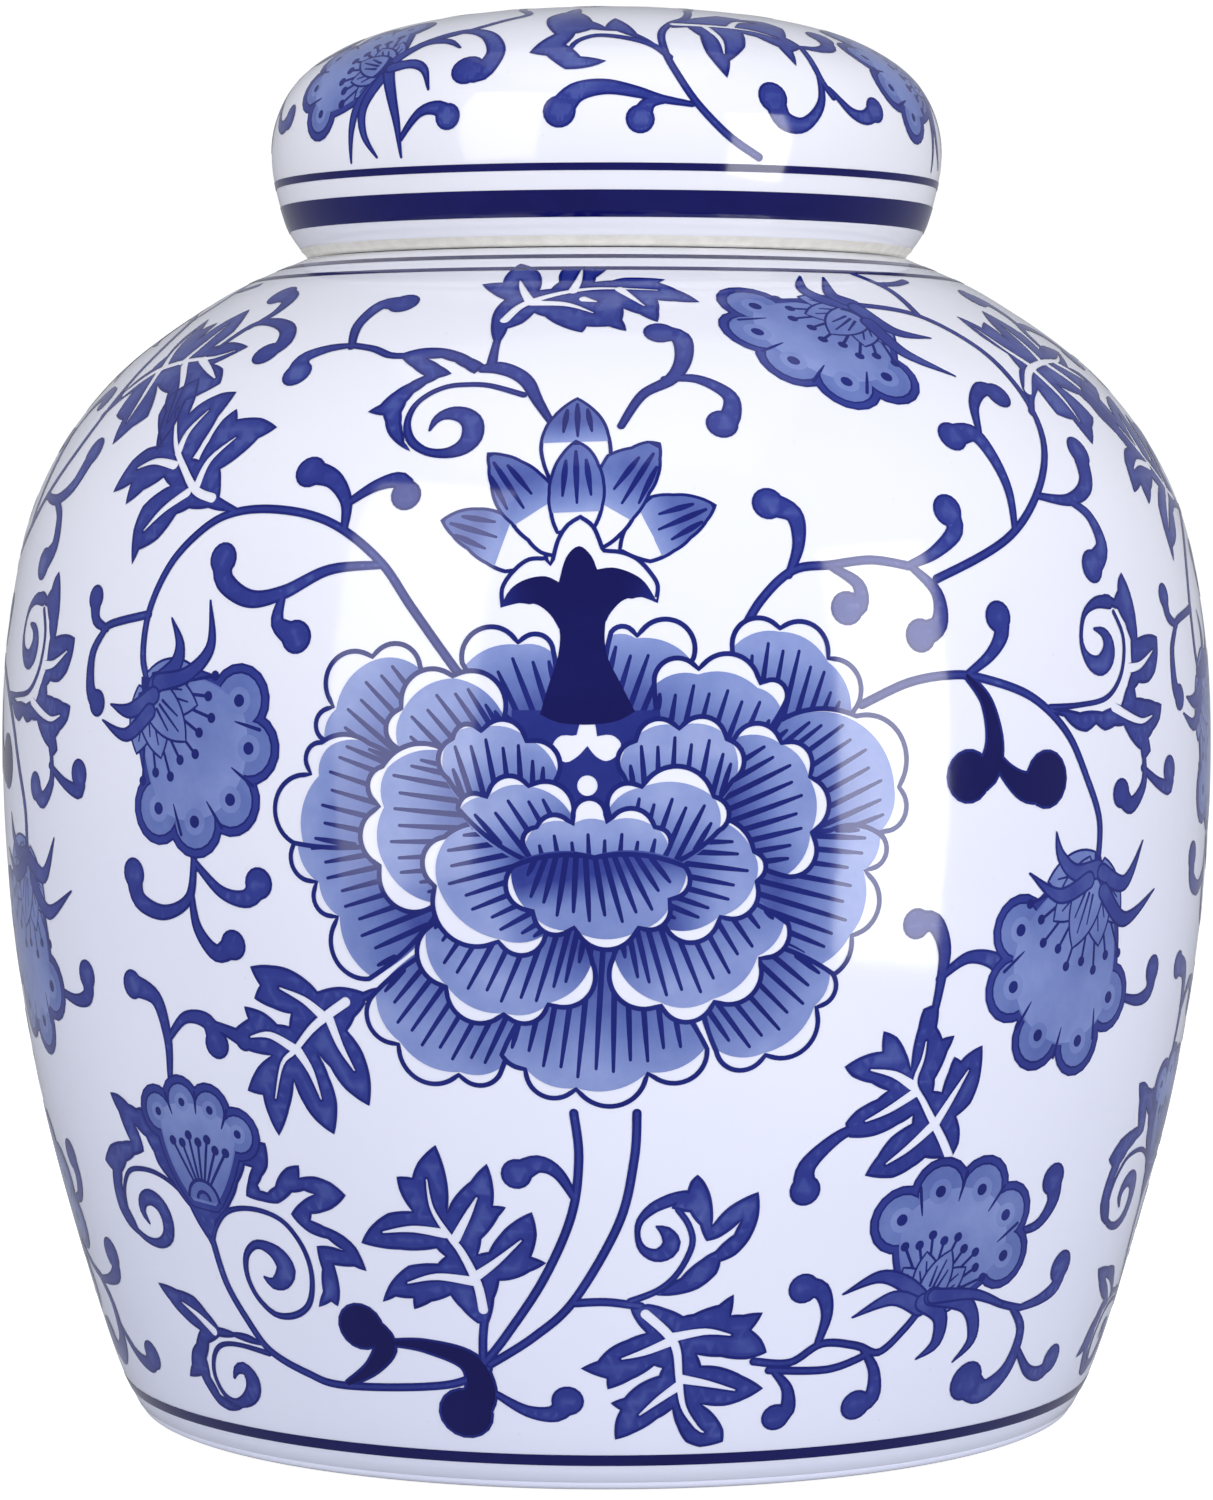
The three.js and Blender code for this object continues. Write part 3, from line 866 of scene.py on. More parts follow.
    leaf(
        canvas,
        [(-11.7, 26.8), (-10.9, 31.2), (-10.3, 34.1), (-8.8, 34.5), (-7.3, 35.7), (-5.7, 37.2),
         (-7.1, 38.2), (-6.5, 41.8), (-6.9, 45.4), (-8.8, 43.6), (-10.1, 41.5), (-11.2, 38.8),
         (-12.2, 38.4), (-11.8, 40.8), (-10, 44.6), (-9.3, 46.1), (-10.5, 46.3), (-10.4, 49.6),
         (-10.9, 52.9), (-12.5, 50.1), (-14.3, 47.1), (-14.9, 45.1), (-14.7, 49.6), (-15.6, 55.6),
         (-17.4, 52.8), (-18.1, 50.3), (-19.6, 50.3), (-19.4, 47.8), (-18.4, 44.9), (-20.8, 44.4),
         (-22.8, 42), (-24, 39.2), (-20, 38.5), (-16.3, 39), (-15.5, 37.8), (-16.3, 36.6), (-19.3, 36),
         (-21.3, 33.2), (-22.5, 29.7), (-21, 30.7), (-19.2, 30.6), (-19.2, 28.8), (-17.3, 30.2),
         (-15.3, 31.4), (-14.3, 29.3), (-12.8, 27)],
        [[(-12.1, 29.3), (-12.5, 33.5), (-13.8, 38.5), (-15, 41.3), (-16.4, 45.5), (-16.7, 50.1)],
         [(-15.3, 41.5), (-18.5, 42), (-21.6, 41.2)], [(-14.3, 40.8), (-13, 44.5), (-12, 47.5)],
         [(-12.5, 34.8), (-10.5, 37.2), (-8, 40.8)], [(-12.9, 33.9), (-16.5, 34.4), (-19.6, 33.1)]],
    )
    leaf(
        canvas,
        [(2.3, 29.8), (2.9, 27.7), (3.9, 25.8), (2, 24.7), (0.3, 23.3), (-0.9, 21.2), (-2.6, 19.9),
         (0, 18.2), (0.1, 16.4), (2.5, 18), (4.8, 20.3), (5.6, 19.9), (5.3, 18.7), (3.3, 17.3), (1.8, 15),
         (0.4, 14.1), (1.4, 12.9), (0.9, 10.8), (0.9, 7.8), (3, 9), (5.3, 11.3), (6.8, 12.9), (7.4, 9.9),
         (8.4, 7.2), (10, 6.2), (12.5, 7), (12.4, 9.2), (11.3, 11.8), (9.9, 13.6), (12.3, 13.2),
         (14.3, 14.1), (16.3, 15.9), (14, 18.2), (11.5, 19.9), (9.6, 20.2), (9.1, 22), (11.5, 21.5),
         (14.2, 20.9), (16.3, 21.9), (15.6, 24.2), (14.5, 25.8), (15.5, 28.6), (13.5, 28.4),
         (12.3, 28.4), (12.4, 31.8), (11, 30.2), (8.5, 28.8), (7.5, 28.5), (5.8, 29.8), (4, 30.6)],
        [[(3.8, 28.9), (6, 25.6), (7, 22.8), (7.4, 17.8), (8, 13.2), (9.5, 9.7), (10.3, 8.8)],
         [(6.6, 25), (9.8, 25.8), (12.4, 25.1)], [(6.2, 24.2), (3.8, 22.6), (1.5, 21.5)],
         [(7.6, 18), (10.3, 17.1), (13.3, 15.8)], [(7.3, 16.8), (5.3, 14.5), (3.4, 12)]],
    )
    leaf(
        canvas,
        [(33.6, 51.2), (34.5, 53.9), (34.4, 56.2), (33.8, 58.3), (35.3, 60.2), (36, 63.6), (35.9, 69.2),
         (34.4, 68.2), (33.6, 67.1), (32.8, 67.8), (32.3, 65.5), (31.8, 62.4), (30.9, 62.7),
         (30.9, 64.5), (32, 68.7), (32.6, 71.1), (31.3, 70.8), (30.6, 72.6), (30.6, 76.2), (29, 75.6),
         (28.6, 72.8), (28.2, 66.4), (27.5, 69.2), (26.5, 71.5), (25.1, 72.5), (25.1, 69.4),
         (23.3, 68.9), (21.5, 67.3), (22.3, 65.7), (24.3, 64.5), (26, 63.2), (25, 62), (23, 60.4),
         (22, 58.5), (22.5, 56.2), (25, 56.2), (27.5, 57.8), (28.9, 59), (28.9, 57.8), (26.8, 55.8),
         (25.6, 53), (24.5, 50), (27.5, 49.3), (29.5, 50.7), (30.8, 52.1), (32.3, 51.8)],
        [[(33.5, 52.1), (32.5, 54.8), (31.3, 57.6), (30, 60.8), (28.8, 64.1), (29.4, 67.8), (29.6, 70.5)],
         [(28.5, 63.8), (26.5, 65.7), (24.1, 66.6)], [(28.9, 62.6), (26.3, 60.2), (24, 58.6)],
         [(31.5, 57.4), (33, 61.3), (34.6, 65.5)], [(31.1, 57), (28.8, 53.9), (26.6, 51.6)]],
    )


def jar_scrolls(canvas):
    acanthus(
        canvas,
        [[(-8.3, 170.4, 1.1), (-12, 172.3, 1.0), (-14.7, 172.5, 1.0), (-16.5, 172.1, 1.0),
          (-18.1, 170.8, 1.0), (-19.3, 168.7, 1.0), (-19.7, 166.2, 1.1), (-19.5, 164, 1.3),
          (-18.7, 161.8, 1.5), (-17.1, 160.2, 1.4), (-15.2, 159.9, 1.8), (-13.7, 160.8, 2.7),
          (-12.9, 162.6, 3.4), (-13, 165, 3.4), (-13.9, 166.5, 3.0), (-15.2, 167, 2.5), (-16.3, 166.5, 1.8),
          (-16.9, 165.4, 1.2), (-17.2, 163.9, 0.5)],
         [(-5.5, 165.7, 1.2), (-6.9, 169.4, 1.8), (-8.1, 172.9, 2.3), (-9.6, 174.9, 2.5), (-11.5, 176, 2.6),
          (-13.1, 175.8, 1.8)],
         [(-12.3, 177, 1.7), (-12.4, 181, 1.3), (-12.4, 186, 1.3)]],
        [(-13.1, 176.7), (-14.7, 178.2), (-16.5, 179.7), (-18.7, 180.6), (-21.1, 180.5), (-23.1, 179.3),
         (-22.7, 178.1), (-21.1, 176.2), (-19.4, 174.4), (-20.8, 172.9), (-22.1, 171.2), (-23.2, 168.7),
         (-24.3, 167.3), (-22.5, 166.6), (-22.1, 165.5), (-21.5, 163.5), (-20.3, 161.6), (-18.7, 160.2),
         (-19.5, 161.8), (-20, 164), (-20.3, 165.2), (-20.6, 167.2), (-20.4, 169.2), (-19.9, 170.9),
         (-18.8, 172.7), (-17.7, 173.9), (-16.4, 174.8), (-17.9, 176.5), (-19.7, 178.1), (-18.1, 178.2),
         (-16.5, 177.3), (-15.2, 176), (-13.9, 174.7)],
    )
    acanthus(
        canvas,
        [[(42.3, 120.2, 1.2), (46.3, 120.4, 0.9), (50.2, 121.2, 0.9), (52.5, 123.9, 0.9),
          (53.6, 127.5, 0.9), (53.7, 131, 0.9), (52.6, 134.4, 0.9)],
         [(52, 136, 2.4), (49.8, 135.9, 1.9), (47.9, 134.2, 1.1), (47.1, 130.8, 0.9), (47.4, 128.3, 1.5),
          (48.4, 126.7, 2.7), (49.7, 126.3, 3.4), (50.9, 127.6, 3.6), (51.2, 129.6, 3.0),
          (50.5, 131.3, 1.8), (49.2, 131.9, 0.6)]],
        [(50.2, 136.5), (51.5, 137.3), (53, 136.5), (53.8, 137.7), (54.2, 139.4), (55, 140.5),
         (55.8, 138.5), (56.4, 135.4), (56.5, 132.6), (56.4, 130.2), (59.1, 130.7), (60.5, 130.2),
         (60.3, 127.5), (59.4, 124.7), (57.9, 123.2), (56, 123.2), (55.2, 122.4), (55.4, 121), (57, 120.7),
         (59.1, 120.1), (60.5, 119.6), (60, 117.3), (58.5, 115.6), (57.6, 114.5), (58, 112.5), (56.4, 111),
         (56, 112.8), (54.5, 114.2), (53, 116.8), (51.5, 116.8), (49.9, 116.2), (48.6, 117.3),
         (47.2, 116.2), (45.6, 116.8), (44.1, 118.7), (42, 119.9), (46.3, 119.3), (49.6, 119.2),
         (52.6, 119.9), (53, 120.8), (53.9, 123), (54.9, 125.2), (55.1, 130), (54.4, 132.6), (53.4, 134.8),
         (52, 135.4)],
        [[(54.2, 125.6), (56.5, 126), (59.2, 128.1)],
         [(51.4, 119.8), (54, 118.2), (56.4, 117.3), (58.4, 118)]],
    )
    acanthus(
        canvas,
        [[(2.3, 31, 1.2), (4.9, 32.7, 1.1), (6.6, 35.1, 1.0), (7.7, 38.2, 1.0), (8.1, 40.8, 1.0),
          (7.6, 43.5, 1.0), (6.6, 45.8, 1.0)],
         [(7.2, 48, 1.8), (6, 47.4, 2.1), (4.3, 46.1, 1.8), (3.1, 44, 1.2), (2.9, 41.6, 0.9),
          (3.4, 39.5, 1.4), (4.6, 38.5, 2.2), (5.7, 39.1, 2.8), (6.1, 40.6, 2.8), (5.5, 42.3, 1.9),
          (4.7, 43.1, 0.5)]],
        [(6, 46), (6.6, 48.4), (7.4, 48.7), (7.7, 50.3), (8.3, 51.3), (9, 50.1), (9.7, 47.4), (9.9, 43.2),
         (11.4, 46.1), (14.1, 48.3), (14.3, 44.5), (13.6, 40.8), (12.3, 38.2), (10.9, 37.2), (10.6, 35.3),
         (8.9, 32.9), (6.6, 31.9), (4.6, 32), (5.4, 32.9), (7.1, 34.8), (9, 37.7), (10.3, 39), (12, 41.6),
         (12.6, 43.7), (10.6, 41.1), (9.4, 40.6), (8.7, 43.2), (7.7, 45.3)],
    )
    acanthus(
        canvas,
        [[(-42.2, 37, 1.1), (-41.3, 39.4, 1.0), (-39.6, 42, 1.0), (-37.2, 43.1, 0.9), (-34.5, 42.9, 0.9),
          (-32.3, 41.4, 0.9), (-30.7, 37.9, 0.9), (-30.1, 33.9, 0.9), (-30.5, 29.9, 1.0),
          (-31.5, 27.4, 1.1), (-33.4, 25.9, 1.2), (-35.6, 25.9, 1.1), (-37.5, 28.4, 1.0),
          (-38.3, 31.9, 1.0), (-37.9, 35.2, 1.2), (-36.5, 37.2, 1.5), (-35, 37.1, 2.1), (-33.7, 35.8, 3.1),
          (-33.1, 33.7, 3.6), (-33.9, 31.7, 3.2), (-35.1, 31.1, 2.0), (-36, 31.9, 0.6)]],
        [(-42.5, 36.4), (-41, 40.2), (-38.4, 44.1), (-37.2, 47.2), (-36, 50.2), (-35.2, 50), (-36, 47.6),
         (-36.5, 45.2), (-34.6, 44.6), (-32.7, 44.5), (-30.9, 46.5), (-29.5, 47), (-28.4, 46.6),
         (-30, 45.2), (-31.4, 43), (-30.8, 41.7), (-29.6, 40.2), (-27.6, 39.4), (-26, 37.7), (-27.8, 38.3),
         (-29, 38.1), (-28.8, 34.4), (-29.1, 30.6), (-29.9, 27.9), (-28.3, 29), (-27.6, 28.3),
         (-27.1, 30.9), (-27.3, 35.2), (-25.1, 35.2), (-23.8, 34.6), (-24.6, 38.4), (-25.8, 40.2),
         (-27.8, 41.5), (-29.2, 42.3), (-29, 43.3), (-27.6, 43.8), (-26.2, 44.9), (-25, 46.8),
         (-26.4, 48.7), (-28.1, 49.5), (-29.8, 49.1), (-29.7, 51.1), (-31.1, 50.6), (-32.1, 49.2),
         (-32.8, 47.3), (-33.8, 46.2), (-34.6, 46.4), (-34.8, 47.2), (-34.1, 48.7), (-33.3, 50.3),
         (-33.1, 52.2), (-33.2, 54.2), (-34.1, 54.3), (-36, 57), (-43.5, 50)],
    )
    acanthus(
        canvas,
        [[(-42.3, 36.5, 1.1), (-43.2, 39.4, 1.0), (-44.5, 42.9, 1.0), (-46.4, 45.4, 0.9),
          (-48.9, 46.9, 0.9), (-51.6, 47.1, 0.9), (-53.8, 46.2, 0.9), (-55.4, 43.4, 0.9),
          (-55.9, 40.4, 0.9), (-55.7, 37.9, 1.0), (-54.8, 36.1, 1.2), (-52.9, 34.9, 1.4),
          (-50.8, 34.9, 1.9), (-49.2, 36.4, 2.6), (-48.7, 39, 3.0), (-49.3, 41.4, 3.1), (-50.8, 42.5, 2.9),
          (-52.3, 41.7, 2.4), (-52.8, 39.8, 1.7), (-52.1, 38, 0.6)]],
        [(-42.5, 36.4), (-44.6, 42.1), (-46.5, 45.8), (-48.2, 48.4), (-48.6, 50.4), (-49.4, 52.6),
         (-50.9, 54.3), (-50.3, 52.1), (-50.2, 50.2), (-52, 49.2), (-53.8, 47.8), (-55.2, 45.8),
         (-55.8, 43.8), (-55.9, 40.4), (-54.6, 36.6), (-53, 34.9), (-54.6, 35.3), (-56.5, 36.7),
         (-57.7, 39.3), (-57.8, 42.4), (-57.2, 45.8), (-58.4, 47.2), (-56.5, 50.1), (-53.8, 51.2),
         (-52.3, 51.5), (-53.5, 56), (-54.5, 59), (-53.1, 59), (-51.4, 57.7), (-50.2, 57.2), (-49.5, 57.5),
         (-41.3, 50)],
    )
    acanthus(
        canvas,
        [[(-37.5, 18.9, 1.1), (-41.5, 19.6, 0.9), (-44.3, 19.1, 0.9), (-46, 17.2, 0.9), (-46.9, 14.3, 0.9),
          (-46.8, 11.8, 1.0), (-45.9, 9.8, 1.1), (-44.3, 9.1, 1.6), (-42.5, 10, 2.5), (-41.2, 11.8, 3.1),
          (-40.9, 14, 3.1), (-41.8, 15.5, 2.5), (-43, 15, 1.5), (-43.7, 13.6, 0.6)]],
        [(-37.6, 20.1), (-39.9, 21.7), (-42.1, 21.7), (-44.3, 22.1), (-45.6, 24.4), (-47.2, 26.7),
         (-50, 27.3), (-53.4, 27.7), (-51.9, 25.1), (-50, 22.7), (-47.6, 20.9), (-48.9, 18.4), (-50, 17),
         (-50.9, 14.3), (-52, 12), (-49.6, 12.6), (-48.9, 10.3), (-47.8, 8.1), (-46.2, 7.3), (-44.3, 7.8),
         (-42.7, 9.3), (-45.1, 8.5), (-47, 10), (-47.9, 12.8), (-47.7, 16), (-46.5, 18.9), (-44.5, 20.4),
         (-42.1, 20.8)],
        [[(-45.2, 21.2), (-47.2, 23.4), (-49.6, 25.2)]],
    )


def jar_carnations(canvas):
    for calyx, lobes in (
        ((-44.2, 123), [(-33.4, 121.7), (-32.3, 114.6), (-34.3, 106.8), (-38.4, 103.2), (-42.8, 104.9)]),
        ((49, 95), [(39.3, 86.6), (38.9, 77.9), (42.7, 69.9), (48.6, 68.2), (52.8, 74.5)]),
        ((33.6, 190.4), [(19.2, 191.7), (17.8, 184.6), (20.6, 177.7), (25.8, 173.3), (31, 174.4)]),
        ((33.6, 28), [(29.2, 42.3), (33.2, 46.4), (38.3, 46), (42.2, 41.2), (43.1, 34.3)]),
    ):
        carnation(canvas, calyx, lobes)
    lobes = [(-46.7, 57.3), (-43.1, 59.3), (-39.5, 58.5), (-36.4, 55.1)]
    carnation(canvas, (-42.2, 43.6), lobes, radius=3.2, waist=2.4, arched=True)
    for points in (
        [(-43.5, 123.5, 3.4), (-41, 126.6, 2.9), (-40.6, 130, 1.9), (-41.9, 133.8, 0.4)],
        [(-43, 124, 3.1), (-39.4, 125.4, 2.6), (-36.9, 129.7, 1.9), (-37.4, 136.6, 0.4)],
        [(-43.6, 122, 3.1), (-46.7, 119.5, 2.6), (-49.6, 120.3, 0.4)],
        [(-44, 119.5, 2.9), (-47.2, 115.8, 2.3), (-50.8, 117.8, 0.4)],
        [(49.2, 95, 3.4), (46, 94.8, 2.9), (43.9, 97.6, 2.0), (43.2, 101.2, 0.4)],
        [(48, 93.4, 3.1), (44, 91.4, 2.6), (40, 95.2, 0.4)],
        [(50, 94.4, 3.1), (53.8, 92.4, 2.6), (56.8, 98.6, 0.4)],
        [(50.4, 91.4, 3.1), (54.2, 86.6, 2.6), (59.8, 90.6, 0.4)],
        [(34, 192, 3.1), (30, 193.8, 2.9), (28, 197.2, 2.2), (29.6, 201.4, 0.4)],
        [(34, 193, 3.1), (31.9, 195.6, 2.6), (33.6, 201.2, 0.4)],
        [(34, 191.6, 3.4), (36.6, 185.4, 2.6), (41.6, 183.8, 0.4)],
        [(33.8, 187.5, 3.1), (35.4, 180, 2.6), (40.6, 174.8, 0.4)],
        [(33.4, 28.2, 3.4), (30.8, 31.6, 2.9), (27.6, 33.2, 2.2), (23.8, 30.8, 0.4)],
        [(33, 27.4, 3.1), (29.6, 29.4, 2.6), (25.2, 26.8, 0.4)],
        [(33.4, 28.2, 3.4), (35.9, 25.4, 2.9), (36, 21, 2.2), (33.8, 18.6, 0.4)],
        [(34.4, 29, 3.4), (39.4, 26.6, 2.9), (41.1, 21, 2.2), (39, 17.2, 0.4)],
        [(34.6, 29, 2.9), (40, 28.4, 2.0), (44.4, 26, 1.3)],
    ):
        canvas.brush([points], layers=(FLOWER, FLOWER))


def paint_jar(canvas):
    jar_vines(canvas)
    jar_buds(canvas)
    jar_leaves(canvas)
    jar_scrolls(canvas)
    jar_carnations(canvas)
    peony(canvas)
    lotus(canvas)


def paint_lid(canvas):
    for points in (
        [(25.5, 13.4), (20, 16.6), (15, 21.4), (12, 26.4), (10.5, 31), (10.8, 36.6), (14, 41), (19, 44.6),
         (24, 52)],
        [(-36, 36), (-30, 38.6), (-24, 43), (-20, 47.4), (-26, 53)],
        [(39.6, 34), (39.4, 27), (41, 23.6)],
    ):
        vine(canvas, points, 1.3)
    for head, points in (
        (5.0, [(14, 21.4), (9, 22.2), (4.6, 23.4), (-0.4, 24.2), (-5, 23.2), (-7.6, 20.2)]),
        (4.4, [(10, 22), (7, 21.6), (5.4, 19)]),
        (5.4, [(-38.6, 34.8), (-34, 37.6), (-29, 38.6), (-23.6, 36.4), (-20.2, 31.6), (-21.6, 27.4),
               (-24.4, 27.8)]),
        (4.2, [(-35.6, 16.6), (-32, 20.6), (-28.6, 21.2), (-26.6, 19.8)]),
        (5.0, [(39.4, 28), (38, 22.4), (34, 18.8), (30, 19.4), (28.4, 23)]),
        (4.2, [(40.6, 25), (44.4, 21.4), (48, 20.6), (51, 22)]),
        (4.8, [(40, 34), (44.6, 33.8), (48.4, 35), (50.4, 38.4)]),
        (4.4, [(24, 51.6), (29, 57), (25, 64), (10, 68), (-4, 66.4), (-8, 61)]),
        (4.4, [(-26, 52.6), (-32, 58), (-46, 61.6), (-58, 59.6), (-58, 55)]),
        (4.0, [(-37, 60), (-44, 67), (-62, 69.6), (-76, 65)]),
    ):
        bud(canvas, points, head, 1.0)
    acanthus(
        canvas,
        [[(11, 30, 1.3), (8, 33.2, 1.4), (3, 35.2, 1.3), (-2, 35.8, 1.2), (-5.4, 34, 1.0),
          (-6.6, 31.6, 0.9)]],
        [(10.2, 31.4), (6, 36.4), (2, 43.4), (-0.3, 39), (-3, 41.6), (-6.4, 47.4), (-8, 53), (-10.4, 48.4),
         (-13.6, 44), (-12.6, 40), (-10.2, 36.4), (-13.8, 31), (-10.6, 30.2), (-7, 27.3), (-2.5, 27.8),
         (0, 29), (-4.5, 30), (-7.4, 33), (-6, 36.4), (-3, 38), (2, 37.4), (6.6, 34.6)],
    )
    leaf(
        canvas,
        [(13.4, 39), (17, 39.4), (18.4, 36), (18, 31), (20.6, 26), (22, 29.4), (26.4, 33), (28.6, 37.6),
         (31, 36.6), (34, 33.6), (35.2, 29), (36.6, 32.4), (40, 34), (38.6, 37), (42, 41), (40, 44.4),
         (34, 45), (29, 47), (24, 45.4), (20, 44), (16, 42.4)],
        [[(14.4, 40.6), (20, 40.4), (26, 40), (32, 38.8), (36, 36.6)], [(21, 40.2), (22.2, 35.4),
                                                                        (21.4, 31)],
         [(27, 40), (31, 43), (36, 43)]],
        1.2,
    )
    carnation(canvas, (-42, 29), [(-56, 21.6), (-61, 26.4), (-62, 33), (-57, 39), (-49, 41.6)], 3.2)
    for points in (
        [(-42, 27, 2.4), (-46, 22, 2.0), (-47, 13.4, 0.5)],
        [(-42, 27, 2.4), (-44.4, 22, 2.0), (-43.6, 17.6, 1.4), (-40.8, 14, 0.5)],
        [(-41, 28, 2.4), (-38.4, 23.6, 2.0), (-36.4, 19, 1.4), (-35.6, 13.8, 0.5)],
        [(-41, 29, 2.4), (-36.4, 29.6, 2.0), (-33, 28, 1.4), (-31, 24.4, 0.5)],
        [(-41, 31, 2.4), (-37, 35, 2.0), (-32, 35.2, 1.5), (-28, 33, 0.5)],
    ):
        canvas.brush([points], layers=(FLOWER, FLOWER))


def arc(radius, height, size, start, end, steps=8):
    """Profile points round a rounded edge whose centre is at that radius and height."""
    turns = np.radians(np.linspace(start, end, steps + 1))
    return list(zip(radius + size * np.cos(turns), height + size * np.sin(turns)))


def inner_wall(face, wall, start, end, count):
    """Profile points on the surface's curve moved inwards by the wall, between two lengths up it."""
    v = np.linspace(start, end, count)
    points, _ = face.solid(np.zeros(count), v, -wall)
    return list(zip(-points[:, 1], points[:, 2]))


def outer_wall(face, count):
    """Profile points up the whole of the surface's curve."""
    v = np.linspace(0, face.length, count)
    return list(zip(np.interp(v, face.reach, face.radius), np.interp(v, face.reach, face.height)))


def lip_arc(lift, start, end, steps):
    """Profile points over the neck's rounded lip, lifted off the glaze."""
    half = NECK_WALL / 2
    return arc(NECK_RADIUS - half, NECK_TOP - half + lift, half + lift, start, end, steps)


def rim_arcs(lift):
    """Profile points round the two edges of the lid's rim, lifted off the glaze."""
    inner = LID_RIM_RADIUS - LID_WALL + RIM_EDGE
    outer = LID_RIM_RADIUS - RIM_EDGE
    height = LID_BASE + RIM_EDGE
    size = RIM_EDGE + lift
    return [*arc(inner, height, size, 180, 270), *arc(outer, height, size, 270, 345)]


def jar_profile(face):
    """The jar's section, from the middle of its base round to the middle of the floor inside."""
    foot_inner = FOOT_RADIUS - FOOT_WIDTH
    return [
        *[(radius, FOOT_RECESS) for radius in (0, 20, 45, 64, foot_inner - FOOT_EDGE)],
        *arc(foot_inner + FOOT_EDGE, FOOT_EDGE, FOOT_EDGE, 180, 270),
        *arc(FOOT_RADIUS - FOOT_EDGE, FOOT_EDGE, FOOT_EDGE, 270, 360),
        *outer_wall(face, 110),
        *arc(NECK_RADIUS + NECK_ROOT, SEAT + NECK_ROOT, NECK_ROOT, 270, 180),
        *lip_arc(0, 0, 180, 14),
        (NECK_RADIUS - NECK_WALL, SEAT - THROAT_DEPTH),
        *inner_wall(face, JAR_WALL, 0.962 * face.length, 0.085 * face.length, 60),
        *[(radius, FLOOR_HEIGHT) for radius in (FLOOR_RADIUS, 45, 20, 0)],
    ]


def lid_profile(face):
    """The lid's section, from the middle of its inside round to the top of its dome."""
    return [
        *[(radius, LID_TOP - LID_WALL) for radius in (0, 5)],
        *inner_wall(face, LID_WALL, 0.97 * face.length, 0.08 * face.length, 60),
        *rim_arcs(0),
        *outer_wall(face, 90),
    ]


def new_object(name, points, faces):
    """A mesh object in the scene. Every face is shaded smooth."""
    mesh = bpy.data.meshes.new(name)
    mesh.from_pydata((np.array(points) * MM).tolist(), [], faces)
    mesh.update()
    mesh.polygons.foreach_set("use_smooth", [True] * len(faces))
    piece = bpy.data.objects.new(name, mesh)
    bpy.context.scene.collection.objects.link(piece)
    return piece


def turned(name, profile):
    """A profile of (radius, height) points turned about the jar's axis."""
    points, faces, rings = [], [], []
    for radius, height in profile:
        if radius < 1e-6:
            rings.append([len(points)])
            points.append((0, 0, height))
            continue
        rings.append(list(range(len(points), len(points) + ROUND)))
        for k in range(ROUND):
            angle = 2 * math.pi * k / ROUND
            points.append((radius * math.sin(angle), -radius * math.cos(angle), height))
    for low, high in zip(rings, rings[1:]):
        for k in range(ROUND):
            n = (k + 1) % ROUND
            if len(low) == 1:
                faces.append((low[0], high[n], high[k]))
            elif len(high) == 1:
                faces.append((low[k], low[n], high[0]))
            else:
                faces.append((low[k], low[n], high[n], high[k]))
    piece = new_object(name, points, faces)
    piece.data.set_sharp_from_angle(angle=math.radians(SHARP_DEGREES))
    return piece


def painted(name, face, corners, triangles, tone, turn):
    """A sheet of paint on a surface, turned round the jar."""
    points, normals = face.solid(corners[:, 0] + turn, corners[:, 1], PAINT_LIFT)
    piece = new_object(name, points, triangles.tolist())
    tones = piece.data.attributes.new("tone", "FLOAT", "CORNER")
    tones.data.foreach_set("value", tone.ravel().astype(np.float32))
    piece.data.normals_split_custom_set_from_vertices(normals.tolist())
    return piece


def band(name, face, low, high):
    """A ring of paint round a surface, between two lengths up its curve."""
    corners, triangles = [], []
    for row in range(BAND_ROWS + 1):
        v = low + (high - low) * row / BAND_ROWS
        corners += [(360 * k / ROUND, v) for k in range(ROUND)]
    for row in range(BAND_ROWS):
        for k in range(ROUND):
            n = (k + 1) % ROUND
            a, b = row * ROUND + k, row * ROUND + n
            triangles += [(a, b, b + ROUND), (a, b + ROUND, a + ROUND)]
    tone = np.full((len(triangles), 3), NAVY - 0.04)
    return painted(name, face, np.array(corners), np.array(triangles), tone, 0)


def new_material(name):
    material = bpy.data.materials.new(name)
    material.use_nodes = True
    nodes = material.node_tree.nodes
    return material, nodes, material.node_tree.links, nodes["Principled BSDF"]


def set_inputs(node, **values):
    """Sets a node's inputs by name, with an underscore where the name has a space."""
    for name, value in values.items():
        node.inputs[name.replace("_", " ")].default_value = value
    return node


def new_ramp(nodes, stops):
    """A colour ramp through (position, colour) stops."""
    ramp = nodes.new("ShaderNodeValToRGB")
    elements = ramp.color_ramp.elements
    while len(elements) < len(stops):
        elements.new(0.5)
    for element, (position, colour) in zip(elements, stops):
        element.position = position
        element.color = (*colour, 1)
    return ramp


def new_mix(nodes, blend="MIX"):
    mix = nodes.new("ShaderNodeMix")
    mix.data_type = "RGBA"
    mix.blend_type = blend
    return mix


def ripple(nodes, links, shader, scale, distance):
    """The faint unevenness of a fired surface. Returns the node that says where a point is."""
    place = nodes.new("ShaderNodeTexCoord")
    noise = set_inputs(nodes.new("ShaderNodeTexNoise"), Scale=scale, Detail=3)
    bump = set_inputs(nodes.new("ShaderNodeBump"), Strength=0.35, Distance=distance)
    links.new(place.outputs["Object"], noise.inputs["Vector"])
    links.new(noise.outputs["Fac"], bump.inputs["Height"])
    links.new(bump.outputs["Normal"], shader.inputs["Normal"])
    return place


def glazed(nodes, links, shader):
    """The gloss and ripple that the white glaze and the painted glaze share."""
    set_inputs(shader, Roughness=0.09, IOR=1.45)
    return ripple(nodes, links, shader, 60, 0.00025)


